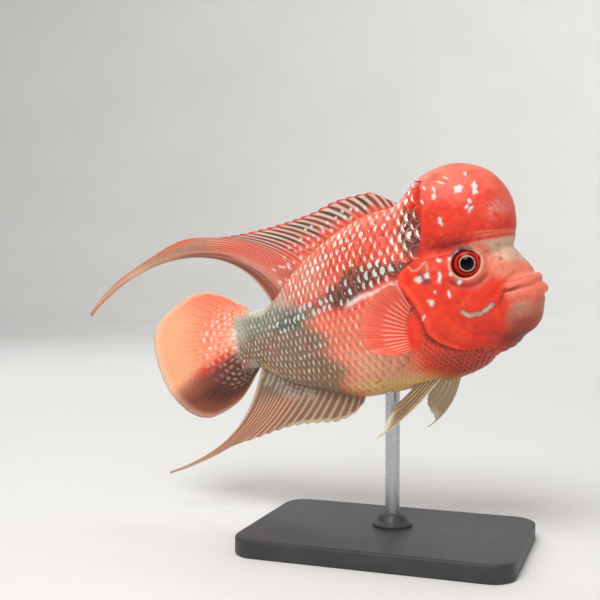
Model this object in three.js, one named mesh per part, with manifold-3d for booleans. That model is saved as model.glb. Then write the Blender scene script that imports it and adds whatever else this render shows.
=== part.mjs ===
// Flowerhorn cichlid, life size, held by a rod on a flat display base.
// Millimetres, +Z up. The origin is the middle of the underside of the base.
// The fish looks along +X, nose up; its right side faces -Y.
//
// The body is worked out in a straight frame of its own: s runs along the
// body (forward +), y across it (left +), t up. It is then bent sideways,
// pitched nose up and lifted to its height above the base.
import * as THREE from 'three';
import { mergeVertices } from 'three/addons/utils/BufferGeometryUtils.js';
import Module from 'manifold-3d';

const wasm = await Module();
wasm.setup();

// ---------------------------------------------------------------- dimensions
const PITCH = 12 * Math.PI / 180;   // nose up
const AXIS_Z = 135;                 // height of the body axis above the floor
const BEND_FROM = 35;               // s where the sideways bend starts
const BEND_LENGTH = 170;            // length over which it runs
const BEND_SIDE = 34;               // how far the tail swings to the left
const GAP = 0.5;                    // saw cut between neighbouring pieces
const CLEAR = 0.35;                 // clearance round an eye and the rod
const FIN_CLEAR = 0.6;              // clearance between a fin root and the body

const SNOUT_S = 82.3;               // front of the head without the lips
const PEDUNCLE_S = -99;             // end of the flesh at the tail
const SNOUT_CAP = 4.5;              // length of the rounded front end
const TAIL_CAP = 3.5;

// stations along the body: s, top, bottom, half width
const STATIONS = [
  [ 84,  -5.0, -14.6,  5.5], [ 81,  -0.5, -20.4,  9.2], [ 78,   4.2, -25.2, 11.4],
  [ 74,  10.8, -29.0, 13.2], [ 69,  18.6, -31.4, 15.0], [ 62,  22.0, -36.4, 17.0],
  [ 54,  26.5, -38.6, 19.2], [ 46,  33.0, -43.6, 21.0], [ 38,  40.0, -46.2, 22.4],
  [ 28,  46.2, -47.8, 23.2], [ 16,  49.4, -48.0, 23.0], [  3,  49.7, -49.2, 21.8],
  [ -9,  48.2, -49.8, 20.0], [-20,  45.6, -50.0, 18.2], [-30,  42.1, -49.6, 16.2],
  [-41,  37.4, -47.2, 13.9], [-51,  32.4, -43.9, 11.9], [-60,  26.6, -40.8,  9.9],
  [-68,  20.6, -37.6,  8.3], [-76,  14.8, -34.0,  7.0], [-86,  11.2, -28.2,  5.6],
  [-93,  11.4, -23.4,  4.6], [-99,  12.4, -22.0,  3.4],
];

const HUMP = { s: 45.4, t: 33.8, rs: 30.7, ry: 21.6, rt: 31.2, e: 2.15 };
const EYE = { s: 48.6, t: 10.5, y: 14.4, r: 8.5, depth: 6.7 };   // eyeball
const ORBIT_R = 9.6;

// lips: a U seen from above, s of the corner and the front, half width
const UPPER_LIP = { sc: 62.0, sf: 80.4, w: 10.6, tc: -6.2, tf: -3.0, rc: 1.9, rf: 2.3 };
const LOWER_LIP = { sc: 62.0, sf: 81.6, w: 10.4, tc: -10.4, tf: -9.0, rc: 1.9, rf: 3.0 };

const BASE = { l: 150, w: 100, h: 10, corner: 12, bevel: 1.2 };
const COLLAR = { r: 11, h: 8 };
const ROD = { s: -10, r: 4, sink: 6, into: 12 };

// ---------------------------------------------------------------- functions
function pchip(xs, ys) {             // smooth curve through stations, no overshoot
  const n = xs.length, d = [], m = [];
  for (let i = 0; i < n - 1; i++) d.push((ys[i + 1] - ys[i]) / (xs[i + 1] - xs[i]));
  for (let i = 0; i < n; i++) {
    if (i === 0) m.push(d[0]);
    else if (i === n - 1) m.push(d[n - 2]);
    else m.push(d[i - 1] * d[i] <= 0 ? 0 : 2 * d[i - 1] * d[i] / (d[i - 1] + d[i]));
  }
  return x => {
    if (x <= xs[0]) return ys[0];
    if (x >= xs[n - 1]) return ys[n - 1];
    let a = 0, b = n - 1;
    while (b - a > 1) { const k = (a + b) >> 1; if (xs[k] <= x) a = k; else b = k; }
    const h = xs[b] - xs[a], q = (x - xs[a]) / h, q2 = q * q, q3 = q2 * q;
    return (2 * q3 - 3 * q2 + 1) * ys[a] + (q3 - 2 * q2 + q) * h * m[a]
         + (3 * q2 - 2 * q3) * ys[b] + (q3 - q2) * h * m[b];
  };
}
const rising = rows => rows.slice().sort((a, b) => a[0] - b[0]);
const column = (rows, k) => pchip(rising(rows).map(r => r[0]), rising(rows).map(r => r[k]));
const topOf = column(STATIONS, 1), bottomOf = column(STATIONS, 2), widthOf = column(STATIONS, 3);
const clamp = (x, a, b) => Math.min(b, Math.max(a, x));
const smooth = (x, a, b) => { const q = clamp((x - a) / (b - a), 0, 1); return q * q * (3 - 2 * q); };
const cap = (x, r) => (x <= 0 ? 1 : Math.sqrt(Math.max(1e-4, 1 - (x / r) ** 2)));

function smoothMin(a, b, k) {
  const h = Math.max(k - Math.abs(a - b), 0) / k;
  return Math.min(a, b) - h * h * k * 0.25;
}
const radial = (rho, r, e) => rho * (1 - 1 / Math.max(r, 1e-6) ** (1 / e));

function mainBody(s, y, t) {
  const over = Math.max(s - SNOUT_S, PEDUNCLE_S - s);
  const q = clamp(s, PEDUNCLE_S, SNOUT_S);
  const e = cap(q - (SNOUT_S - SNOUT_CAP), SNOUT_CAP + 0.02) * cap(PEDUNCLE_S + TAIL_CAP - q, TAIL_CAP + 0.02);
  const top = topOf(q), bot = bottomOf(q);
  const tail = smooth(-q, 90, 99);
  const c = (top + bot) / 2;
  const h = (top - bot) / 2 * (q < 0 ? 1 - (1 - e) * 0.35 : e), w = widthOf(q) * e;
  const v = (t - c) / h;
  const head = smooth(q, 34, 62);
  const up = 1.78 + 0.5 * head + 0.6 * tail, down = 2.15 + 0.2 * head + 0.4 * tail;
  const r = (Math.abs(y) / w) ** 2.1 + Math.abs(v) ** (v > 0 ? up : down);
  const rho = Math.hypot(y, t - c);
  let d = radial(rho, r, 2.05);
  if (over > 0) d = Math.max(d, 0) + over;
  return d;
}
function humpBall(s, y, t) {
  const a = Math.abs(s - HUMP.s), b = Math.abs(y), c = Math.abs(t - HUMP.t);
  const r = (a / HUMP.rs) ** HUMP.e + (b / HUMP.ry) ** HUMP.e + (c / HUMP.rt) ** HUMP.e;
  return radial(Math.hypot(a, b, c), r, HUMP.e);
}
function lip(L, s, y, t) {           // distance to a bent rod with a changing radius
  let best = 1e9;
  const n = 14;
  let p = null;
  for (let i = 0; i <= n; i++) {
    const a = Math.PI / 2 * (1 - i / n);
    const q = [L.sc + (L.sf - L.sc) * Math.sin(Math.PI / 2 - a) ** 0.9, L.w * Math.sin(a) ** 0.75,
      0, L.rc + (L.rf - L.rc) * (i / n)];
    q[2] = L.tc + (L.tf - L.tc) * ((q[0] - L.sc) / (L.sf - L.sc));
    if (p) {
      const dx = q[0] - p[0], dy = q[1] - p[1], dz = q[2] - p[2];
      const k = clamp(((s - p[0]) * dx + (y - p[1]) * dy + (t - p[2]) * dz) / (dx * dx + dy * dy + dz * dz), 0, 1);
      const d = Math.hypot(s - p[0] - k * dx, y - p[1] - k * dy, t - p[2] - k * dz) - (p[3] + k * (q[3] - p[3]));
      if (d < best) best = d;
    }
    p = q;
  }
  return best;
}
// rear and lower edge of the gill cover, as s of the edge at a height t
const GILL = [[-34, 46], [-32.5, 36], [-29.5, 30.5], [-25, 25.6], [-20, 22.8], [-12, 21.8], [-4, 19.6], [2, 16.6], [7, 14.2], [12, 15.5], [18, 24]];
const gillEdge = pchip(GILL.map(g => g[0]), GILL.map(g => g[1]));
function body(s, y, t) {             // distance to the skin, negative inside
  const ay = Math.abs(y);
  let d = smoothMin(mainBody(s, ay, t), humpBall(s, ay, t), 1.6 + 7 * (1 - smooth(s, 24, 42)));
  if (s > 40) {
    d = smoothMin(d, lip(UPPER_LIP, s, ay, t), 1.6);
    d = smoothMin(d, lip(LOWER_LIP, s, ay, t), 1.6);
  }
  if (s > 10 && t < 18 && t > -35) d -= 0.9 * smooth(s - gillEdge(t), -0.5, 1.6) * (1 - smooth(s, 40, 62));
  return d;
}

// ------------------------------------------------------- bending and placing
const sway = s => { const q = clamp((BEND_FROM - s) / BEND_LENGTH, 0, 1); return BEND_SIDE * q * q * (3 - 2 * q); };
const swaySlope = s => { const q = clamp((BEND_FROM - s) / BEND_LENGTH, 0, 1); return -BEND_SIDE / BEND_LENGTH * 6 * q * (1 - q); };
function place(s, y, t) {
  const k = swaySlope(s), n = Math.hypot(1, k);
  const a = s - y * k / n, b = sway(s) + y / n;
  return [a * Math.cos(PITCH) - t * Math.sin(PITCH), b, AXIS_Z + a * Math.sin(PITCH) + t * Math.cos(PITCH)];
}
// a prism across the body, placed without the bend, so that its faces stay flat
function placeFlat(a, b, t) {
  return [a * Math.cos(PITCH) - t * Math.sin(PITCH), b, AXIS_Z + a * Math.sin(PITCH) + t * Math.cos(PITCH)];
}

// ---------------------------------------------------------- mesh from distance
function gridLines(parts) {          // [[from, to, step], ...]
  const out = [];
  for (const [a, b, step] of parts) {
    const n = Math.max(1, Math.round((b - a) / step));
    for (let i = 0; i < n; i++) out.push(a + (b - a) * i / n);
  }
  out.push(parts[parts.length - 1][1]);
  return out;
}
const GS = gridLines([[-104, -84, 4.4], [-84, 18, 7.4], [18, 58, 5.2], [58, 90, 3.5]]);
const GY = gridLines([[-29.4, 29.4, 4.9]]);
const GT = gridLines([[-57.6, -10, 5.4], [-10, 22, 4.5], [22, 71.5, 5.9]]);

function netSurface(grow) {
  const nx = GS.length, ny = GY.length, nz = GT.length;
  const f = body;
  const V = new Float64Array(nx * ny * nz);
  const id = (i, j, k) => (i * ny + j) * nz + k;
  for (let i = 0; i < nx; i++) for (let j = 0; j < ny; j++) for (let k = 0; k < nz; k++) {
    V[id(i, j, k)] = f(GS[i], GY[j], GT[k]);
  }
  const cell = new Int32Array(nx * ny * nz).fill(-1);
  const pos = [];
  for (let i = 0; i < nx - 1; i++) for (let j = 0; j < ny - 1; j++) for (let k = 0; k < nz - 1; k++) {
    let n = 0, a = 0, b = 0, c = 0;
    const corner = (m) => [i + (m & 1), j + ((m >> 1) & 1), k + ((m >> 2) & 1)];
    for (let m = 0; m < 8; m++) for (const bit of [1, 2, 4]) {
      if (m & bit) continue;
      const p = corner(m), q = corner(m | bit);
      const vp = V[id(...p)], vq = V[id(...q)];
      if ((vp < 0) === (vq < 0)) continue;
      const r = vp / (vp - vq);
      a += GS[p[0]] + r * (GS[q[0]] - GS[p[0]]);
      b += GY[p[1]] + r * (GY[q[1]] - GY[p[1]]);
      c += GT[p[2]] + r * (GT[q[2]] - GT[p[2]]);
      n++;
    }
    if (!n) continue;
    let P = [a / n, b / n, c / n];
    const lo = [GS[i], GY[j], GT[k]], hi = [GS[i + 1], GY[j + 1], GT[k + 1]];
    for (let it = 0; it < 4; it++) {       // onto the true surface
      const h = 0.02, v = f(...P);
      const g = [0, 1, 2].map(ax => { const Q = P.slice(); Q[ax] += h; return (f(...Q) - v) / h; });
      const gg = Math.max(g[0] ** 2 + g[1] ** 2 + g[2] ** 2, 0.3);
      P = P.map((x, ax) => clamp(x - 0.9 * v * g[ax] / gg, lo[ax] + 0.02, hi[ax] - 0.02));
    }
    if (grow) {                            // and out from it by an even amount
      const h = 0.3;
      const g = [0, 1, 2].map(ax => { const Q = P.slice(), R = P.slice(); Q[ax] += h; R[ax] -= h; return f(...Q) - f(...R); });
      const l = Math.hypot(...g) || 1;
      P = P.map((x, ax) => x + grow * g[ax] / l);
    }
    cell[id(i, j, k)] = pos.length / 3;
    pos.push(...P);
  }
  const tris = [];
  const quad = (a, b, c, d, flip) => { if (flip) tris.push(a, c, b, a, d, c); else tris.push(a, b, c, a, c, d); };
  for (let i = 1; i < nx - 1; i++) for (let j = 1; j < ny - 1; j++) for (let k = 1; k < nz - 1; k++) {
    const v = V[id(i, j, k)] < 0;
    if (v !== V[id(i + 1, j, k)] < 0) quad(cell[id(i, j - 1, k - 1)], cell[id(i, j, k - 1)], cell[id(i, j, k)], cell[id(i, j - 1, k)], !v);
    if (v !== V[id(i, j + 1, k)] < 0) quad(cell[id(i - 1, j, k - 1)], cell[id(i - 1, j, k)], cell[id(i, j, k)], cell[id(i, j, k - 1)], !v);
    if (v !== V[id(i, j, k + 1)] < 0) quad(cell[id(i - 1, j - 1, k)], cell[id(i, j - 1, k)], cell[id(i, j, k)], cell[id(i - 1, j, k)], !v);
  }
  const out = new Float32Array(pos.length);
  for (let n = 0; n < pos.length; n += 3) out.set(place(pos[n], pos[n + 1], pos[n + 2]), n);
  return [out, new Uint32Array(tris)];
}
function solid(verts, tris) {
  return new wasm.Manifold(new wasm.Mesh({ numProp: 3, vertProperties: verts, triVerts: tris }));
}
function solidOf(geometry) {         // a closed three.js geometry as a solid
  let g = geometry.clone();
  for (const name of Object.keys(g.attributes)) if (name !== 'position') g.deleteAttribute(name);
  g = mergeVertices(g, 1e-4);
  return solid(new Float32Array(g.attributes.position.array), new Uint32Array(g.index.array));
}
function geometryOf(m) {
  const mesh = m.getMesh();
  const g = new THREE.BufferGeometry();
  g.setAttribute('position', new THREE.BufferAttribute(new Float32Array(mesh.vertProperties), 3));
  g.setIndex(new THREE.BufferAttribute(new Uint32Array(mesh.triVerts), 1));
  g.computeVertexNormals();
  return g;
}
// thin cut along a line in the s, t plane, right across the body
function saw(line, half = 45) {
  const pts = line.map(p => new THREE.Vector2(...p)), left = [], right = [];
  pts.forEach((p, i) => {
    const a = pts[Math.max(0, i - 1)], b = pts[Math.min(pts.length - 1, i + 1)];
    const n = new THREE.Vector2(-(b.y - a.y), b.x - a.x).normalize().multiplyScalar(GAP / 2);
    left.push(p.clone().add(n)); right.push(p.clone().sub(n));
  });
  const g = new THREE.ExtrudeGeometry(new THREE.Shape([...left, ...right.reverse()]),
    { depth: 2 * half, bevelEnabled: false, steps: 1 });
  const P = g.attributes.position;
  for (let i = 0; i < P.count; i++) P.setXYZ(i, ...placeFlat(P.getX(i), half + 17 - P.getZ(i), P.getY(i)));
  return solidOf(g);
}
// thin plate over a grid: mid(u, v) gives s, y, t and half(u, v) the half thickness
function plate(nu, nv, mid, half, across = [0, 1, 0]) {
  const verts = [], tris = [];
  const id = (i, j, side) => (side * (nu + 1) + i) * (nv + 1) + j;
  for (let side = 0; side < 2; side++) for (let i = 0; i <= nu; i++) for (let j = 0; j <= nv; j++) {
    const u = i / nu, v = j / nv, p = mid(u, v), h = half(u, v) * (side ? 1 : -1);
    verts.push(...place(p[0] + across[0] * h, p[1] + across[1] * h, p[2] + across[2] * h));
  }
  const quad = (a, b, c, d) => tris.push(a, b, c, a, c, d);
  for (let i = 0; i < nu; i++) for (let j = 0; j < nv; j++) {
    quad(id(i, j, 0), id(i + 1, j, 0), id(i + 1, j + 1, 0), id(i, j + 1, 0));
    quad(id(i, j, 1), id(i, j + 1, 1), id(i + 1, j + 1, 1), id(i + 1, j, 1));
  }
  for (let i = 0; i < nu; i++) {
    quad(id(i, 0, 0), id(i, 0, 1), id(i + 1, 0, 1), id(i + 1, 0, 0));
    quad(id(i, nv, 0), id(i + 1, nv, 0), id(i + 1, nv, 1), id(i, nv, 1));
  }
  for (let j = 0; j < nv; j++) {
    quad(id(0, j, 0), id(0, j + 1, 0), id(0, j + 1, 1), id(0, j, 1));
    quad(id(nu, j, 0), id(nu, j, 1), id(nu, j + 1, 1), id(nu, j + 1, 0));
  }
  let m = solid(new Float32Array(verts), new Uint32Array(tris));
  if (m.volume() < 0) {
    for (let i = 0; i < tris.length; i += 3) [tris[i], tris[i + 1]] = [tris[i + 1], tris[i]];
    m = solid(new Float32Array(verts), new Uint32Array(tris));
  }
  return m;
}
const profile = rows => pchip(rising(rows).map(r => r[0]), rising(rows).map(r => r[1]));

// ------------------------------------------------------------------ the flesh
const flesh = solid(...netSurface(0));
const fleshClear = solid(...netSurface(FIN_CLEAR));
function at(m, p) { return m.translate(p); }
function ball(c, r) {
  const g = new THREE.SphereGeometry(1, 16, 10);
  g.rotateX(Math.PI / 2);
  g.scale(...r);
  const a = place(...c);
  g.rotateY(-PITCH);
  g.translate(...a);
  return g;
}
function rodAt(x, y, z0, z1, r, sides = 16) {
  const g = new THREE.CylinderGeometry(r, r, z1 - z0, sides, 1);
  g.rotateX(Math.PI / 2);
  g.translate(x, y, (z0 + z1) / 2);
  return g;
}
const rodFoot = place(ROD.s, 0, bottomOf(ROD.s));
const rodTop = rodFoot[2] + ROD.into;

let cut = flesh;
const GILL_CUT = [[6, 66], [17, 50.6], [25, 46.5], [30.5, 41], [29.5, 30], [26, 19], [19.5, 12.5], [14.5, 8],
  [17.5, 2], [20.6, -6], [22.2, -15], [24.5, -23.5], [32, -30.5], [42, -34.3], [50, -37], [56, -50]];
const CREASE_CUT = [[95, 19.4], [70, 19.6], [50, 19.4], [38, 18.6], [25.2, 17.9]];
const JAW_CUT = [[95, -4.9], [82, -5.6], [63, -8.4], [60.5, -13], [64.5, -24], [69, -44]];
const TAIL_CUT = [[-62, 90], [-62, -90]];
for (const line of [GILL_CUT, CREASE_CUT, JAW_CUT, TAIL_CUT]) cut = cut.subtract(saw(line));
for (const side of [-1, 1]) {
  cut = cut.subtract(solidOf(ball([EYE.s, side * EYE.y, EYE.t], [EYE.r + CLEAR, EYE.depth + CLEAR, EYE.r + CLEAR])));
}
cut = cut.subtract(solidOf(rodAt(rodFoot[0], rodFoot[1], rodFoot[2] - 20, rodTop + CLEAR, ROD.r + CLEAR)));
const pieces = cut.decompose().filter(m => m.volume() > 200);
const middle = m => {
  const b = m.boundingBox(), x = (b.min[0] + b.max[0]) / 2, z = (b.min[2] + b.max[2]) / 2 - AXIS_Z;
  return [x * Math.cos(PITCH) + z * Math.sin(PITCH), -x * Math.sin(PITCH) + z * Math.cos(PITCH)];
};
function piece(test) { return pieces.find(m => test(...middle(m))); }
const jaw = piece((s, t) => s > 62 && t < 0);
const hump = piece((s, t) => s > 30 && t > 30);
const head = piece((s, t) => s > 25 && s < 62 && t < 30);
const tail = piece((s) => s < -62);
const trunk = piece((s) => s > -62 && s < 25);

// ------------------------------------------------------------------- the fins
// upper and lower margins as heights t along s
const DORSAL = {
  front: 16.6, tip: -207.4,
  up: profile([[17, 50.4], [11.2, 54.1], [6, 58], [0, 61], [-6, 62.4], [-13, 62.7], [-25, 61.5], [-40, 58.7], [-54, 57.5],
    [-83, 58.3], [-102, 59.6], [-120, 62.9], [-130, 64.2], [-141, 62.9], [-157, 58.1], [-173, 52.2], [-182, 48.8], [-190, 44.8], [-199, 39.2], [-207.4, 31.4]]),
  low: profile([[17, 46], [-70, 16], [-77, 9], [-79.5, 16.5], [-83.8, 25.7], [-89, 34], [-96, 40.6], [-108, 47.4], [-122, 52.4], [-136, 55.2],
    [-150, 54], [-166, 49.4], [-182, 45], [-190, 41.4], [-199, 36.8], [-207.4, 29.4]]),
};
const ANAL = {
  front: -27, tip: -172.3,
  up: profile([[-27, -46], [-60, -34], [-90, -18], [-95, -25], [-99, -31.5], [-103, -38.8], [-108, -46], [-117, -55], [-124.5, -62], [-131, -66.6],
    [-139, -69.6], [-150, -72.2], [-161, -74.4], [-172.3, -77.2]]),
  low: profile([[-27, -51.6], [-31.6, -55.4], [-39.3, -59.7], [-48, -61.7], [-62, -61.2], [-75, -60.8], [-90, -62], [-105, -64.6], [-124, -67.2],
    [-134, -70.4], [-146, -74], [-158, -76.4], [-172.3, -78.8]]),
};
const CAUDAL = {
  front: -91.5, tip: -165.8,
  up: profile([[-91.5, 9], [-94.4, 12.6], [-101, 17.2], [-107, 21.6], [-112.3, 24.8], [-119, 28], [-126, 29.7], [-132, 29.5], [-141, 27], [-149, 23.8],
    [-157, 19], [-162, 14.6], [-165.2, 8], [-165.8, 1]]),
  low: profile([[-91.5, -21], [-97, -24.4], [-101, -28.2], [-105, -32.6], [-110, -37.4], [-116, -41.6], [-122, -44.4], [-130, -46.9], [-136, -48],
    [-142, -47], [-148, -44.2], [-154, -39], [-159.3, -32], [-163, -24.4], [-165.4, -14], [-165.8, -5]]),
};
// a fin in the middle plane; thicker at the root, thin at the margin
function medianFin(F, nu, nv, rootHalf, edgeHalf, swayMore = () => 0) {
  return plate(nu, nv, (u, v) => {
    const s = F.front + (F.tip - F.front) * u;
    const a = F.low(s), b = F.up(s);
    return [s, swayMore(s, a + (b - a) * v), a + (b - a) * v];
  }, (u, v) => {
    const s = F.front + (F.tip - F.front) * u, t = F.low(s) + (F.up(s) - F.low(s)) * v;
    const away = Math.max(t - topOf(clamp(s, -99, 84)), bottomOf(clamp(s, -99, 84)) - t, -99 - s, 0);
    return edgeHalf + (rootHalf - edgeHalf) * (1 - smooth(away, 0, 12));
  });
}
const along = (rows, u) => {         // point on a line of corners, u from 0 to 1
  const x = clamp(u, 0, 1) * (rows.length - 1), i = Math.min(rows.length - 2, Math.floor(x)), q = x - i;
  return rows[i].map((a, k) => a + (rows[i + 1][k] - a) * q);
};
// a paired fin: rays fan from the root line to the margin line, rows of s, y, t
function pairedFin(side, root, margin, bow, nu, nv, across) {
  return plate(nu, nv, (u, v) => {
    const a = along(root, u), b = along(margin, u), w = v, k = 4 * w * (1 - w);
    return [a[0] + (b[0] - a[0]) * w + bow[0] * k * (1 - u), side * (a[1] + (b[1] - a[1]) * w + bow[1] * k), a[2] + (b[2] - a[2]) * w + bow[2] * k * (1 - u)];
  }, (u, v) => 0.65 - 0.3 * v, [across[0], across[1] * side, across[2]]);
}
const PECTORAL = {
  root: [[18.6, 19.5, -9.5], [16.0, 19.5, -15], [14.4, 19.5, -21], [14.2, 19, -28]],
  margin: [[18.5, 34, 7.2], [11.5, 36.5, 6.2], [4.5, 38, 2], [0, 38.5, -5], [-2, 38, -13], [-2.6, 36, -22], [3, 33, -26.5], [9, 29, -29]],
};
const PELVIC_R = {
  root: [[24, 5.5, -44], [16, 5.5, -44.5], [8, 5, -45]],
  margin: [[-17, 15, -72.4], [-12.5, 14, -67.5], [-8.5, 12.5, -61.5], [-4.5, 11, -56.5], [1, 8.5, -52.6], [4.5, 7, -50.5]],
};
const PELVIC_L = {
  root: [[31, 5.5, -44], [24, 5.5, -44.5], [17, 5, -45]],
  margin: [[-0.5, 15, -73.2], [5.5, 14.5, -69], [4.5, 13, -64.5], [4, 11.5, -60], [6.5, 9, -55.5], [11, 7.5, -51.5]],
};
const fins = {
  dorsal_fin: medianFin(DORSAL, 34, 3, 0.9, 0.45),
  anal_fin: medianFin(ANAL, 24, 3, 0.9, 0.45),
  caudal_fin: medianFin(CAUDAL, 14, 6, 1.3, 0.45),
  pectoral_fin_r: pairedFin(-1, PECTORAL.root, PECTORAL.margin, [0, 1.2, 0], 12, 3, [0.75, 0.66, 0]),
  pectoral_fin_l: pairedFin(1, PECTORAL.root, PECTORAL.margin, [0, 1.2, 0], 12, 3, [0.75, 0.66, 0]),
  pelvic_fin_r: pairedFin(-1, PELVIC_R.root, PELVIC_R.margin, [-1, 0, -3.4], 9, 3, [0, 0.93, 0.36]),
  pelvic_fin_l: pairedFin(1, PELVIC_L.root, PELVIC_L.margin, [3.4, 0, -3.4], 9, 3, [0, 0.93, 0.36]),
};
for (const name of Object.keys(fins)) {
  const m = fins[name].subtract(fleshClear).decompose();
  m.sort((a, b) => b.volume() - a.volume());
  fins[name] = m[0];
}

// ------------------------------------------------------------------ the stand
function roundedPlate() {
  const a = BASE.l / 2 - BASE.bevel, b = BASE.w / 2 - BASE.bevel, r = BASE.corner;
  const shape = new THREE.Shape();
  shape.moveTo(-a + r, -b);
  shape.lineTo(a - r, -b); shape.absarc(a - r, -b + r, r, -Math.PI / 2, 0, false);
  shape.lineTo(a, b - r); shape.absarc(a - r, b - r, r, 0, Math.PI / 2, false);
  shape.lineTo(-a + r, b); shape.absarc(-a + r, b - r, r, Math.PI / 2, Math.PI, false);
  shape.lineTo(-a, -b + r); shape.absarc(-a + r, -b + r, r, Math.PI, 3 * Math.PI / 2, false);
  const g = new THREE.ExtrudeGeometry(shape, { depth: BASE.h - 2 * BASE.bevel, bevelEnabled: true, bevelThickness: BASE.bevel,
    bevelSize: BASE.bevel, bevelSegments: 2, curveSegments: 4, steps: 1 });
  g.translate(0, 0, BASE.bevel);
  return g;
}
function collar() {                  // turned collar round the foot of the rod
  const r = COLLAR.r, h = COLLAR.h, z = BASE.h - 1;
  const pts = [[0, z], [r, z], [r, z + 2.4], [r - 2.2, z + 4.4], [ROD.r + 3.2, h + z - 0.8], [ROD.r + 2.4, h + z], [0, h + z]];
  const g = new THREE.LatheGeometry(pts.map(p => new THREE.Vector2(...p)), 20);
  g.rotateX(Math.PI / 2);
  g.translate(rodFoot[0], rodFoot[1], 0);
  return g;
}
let base = solidOf(roundedPlate());
let ring = solidOf(collar());
base = base.add(ring).subtract(solidOf(rodAt(rodFoot[0], rodFoot[1], BASE.h - ROD.sink, 40, ROD.r + CLEAR)));
const rod = rodAt(rodFoot[0], rodFoot[1], BASE.h - ROD.sink + CLEAR, rodTop, ROD.r);

// ------------------------------------------------------------------- assembly
const fish = new THREE.Group();
function add(name, geometry, color, roughness, metalness = 0) {
  const mesh = new THREE.Mesh(geometry, new THREE.MeshStandardMaterial({ color, roughness, metalness }));
  mesh.name = name;
  fish.add(mesh);
}
add('head', geometryOf(head), 0xe2502f, 0.4);
add('nuchal_hump', geometryOf(hump), 0xe85638, 0.38);
add('lower_jaw', geometryOf(jaw), 0xd9846e, 0.42);
add('trunk', geometryOf(trunk), 0xd05a48, 0.42);
add('tail', geometryOf(tail), 0x9c7a66, 0.42);
add('dorsal_fin', geometryOf(fins.dorsal_fin), 0xc26a5a, 0.5);
add('anal_fin', geometryOf(fins.anal_fin), 0xb4826c, 0.5);
add('caudal_fin', geometryOf(fins.caudal_fin), 0xe0876a, 0.5);
add('pectoral_fin_r', geometryOf(fins.pectoral_fin_r), 0xe8907a, 0.5);
add('pectoral_fin_l', geometryOf(fins.pectoral_fin_l), 0xe8907a, 0.5);
add('pelvic_fin_r', geometryOf(fins.pelvic_fin_r), 0xcdb9a4, 0.5);
add('pelvic_fin_l', geometryOf(fins.pelvic_fin_l), 0xcdb9a4, 0.5);
for (const [name, side] of [['eye_r', -1], ['eye_l', 1]]) {
  let g = ball([EYE.s, side * EYE.y, EYE.t], [EYE.r, EYE.depth, EYE.r]);
  add(name, geometryOf(solidOf(g)), 0x7c1810, 0.12);
}
add('stand_base', geometryOf(base), 0x2b2b2d, 0.5);
add('stand_rod', geometryOf(solidOf(rod)), 0xb9bcc0, 0.28, 1);

export default fish;
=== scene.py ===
import bpy, math
import numpy as np
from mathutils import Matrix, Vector


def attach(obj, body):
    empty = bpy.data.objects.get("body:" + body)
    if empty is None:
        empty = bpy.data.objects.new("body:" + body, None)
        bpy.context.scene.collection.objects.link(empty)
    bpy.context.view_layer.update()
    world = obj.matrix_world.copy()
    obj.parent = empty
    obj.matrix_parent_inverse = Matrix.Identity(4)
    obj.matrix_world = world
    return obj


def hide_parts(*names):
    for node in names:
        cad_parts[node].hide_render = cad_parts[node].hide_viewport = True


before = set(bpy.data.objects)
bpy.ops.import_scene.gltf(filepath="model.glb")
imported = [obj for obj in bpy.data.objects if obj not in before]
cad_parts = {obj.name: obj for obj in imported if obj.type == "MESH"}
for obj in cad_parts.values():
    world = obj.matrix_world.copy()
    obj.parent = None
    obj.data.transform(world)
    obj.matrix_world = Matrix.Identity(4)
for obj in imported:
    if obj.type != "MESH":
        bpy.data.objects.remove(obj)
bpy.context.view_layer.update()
RNG = np.random.default_rng(7)

# ------------------------------------------------------------------ dimensions (mm)
# the same body as the solids: s along the body, y across, t up, then bent and pitched
PITCH, AXIS_Z = math.radians(12.0), 135.0
BEND_FROM, BEND_LENGTH, BEND_SIDE = 35.0, 170.0, 34.0
SNOUT_S, PEDUNCLE_S, SNOUT_CAP, TAIL_CAP = 82.3, -99.0, 4.5, 3.5
STATIONS = np.array([   # s, top, bottom, half width
    [84, -5.0, -14.6, 5.5], [81, -0.5, -20.4, 9.2], [78, 4.2, -25.2, 11.4],
    [74, 10.8, -29.0, 13.2], [69, 18.6, -31.4, 15.0], [62, 22.0, -36.4, 17.0],
    [54, 26.5, -38.6, 19.2], [46, 33.0, -43.6, 21.0], [38, 40.0, -46.2, 22.4],
    [28, 46.2, -47.8, 23.2], [16, 49.4, -48.0, 23.0], [3, 49.7, -49.2, 21.8],
    [-9, 48.2, -49.8, 20.0], [-20, 45.6, -50.0, 18.2], [-30, 42.1, -49.6, 16.2],
    [-41, 37.4, -47.2, 13.9], [-51, 32.4, -43.9, 11.9], [-60, 26.6, -40.8, 9.9],
    [-68, 20.6, -37.6, 8.3], [-76, 14.8, -34.0, 7.0], [-86, 11.2, -28.2, 5.6],
    [-93, 11.4, -23.4, 4.6], [-99, 12.4, -22.0, 3.4]])[::-1]
HUMP = dict(s=45.4, t=33.8, rs=30.7, ry=21.6, rt=31.2, e=2.15)
EYE = dict(s=48.6, t=10.5, y=14.4, r=8.5, depth=6.7)
UPPER_LIP = dict(sc=64.5, sf=80.4, w=14.0, tc=-5.4, tf=-3.0, rc=1.9, rf=2.5)
LOWER_LIP = dict(sc=64.5, sf=81.6, w=13.8, tc=-9.8, tf=-9.2, rc=2.0, rf=3.1)
MOUTH = dict(sc=64.2, sf=84.2, w=16.2, tc=-7.6, tf=-5.7, rc=0.0, rf=0.0)
LIP_FOLD = dict(sc=63.6, sf=82.6, w=15.8, tc=-3.4, tf=-1.2, rc=0.0, rf=0.0)
GILL = np.array([[-34, 46], [-32.5, 36], [-29.5, 30.5], [-25, 25.6], [-20, 22.8], [-12, 21.8],
                 [-4, 19.6], [2, 16.6], [7, 14.2], [12, 15.5], [18, 24]])
NAPE = np.array([[18, 27.0], [30, 29.6], [45, 32.0], [60, 33.0]])


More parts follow.
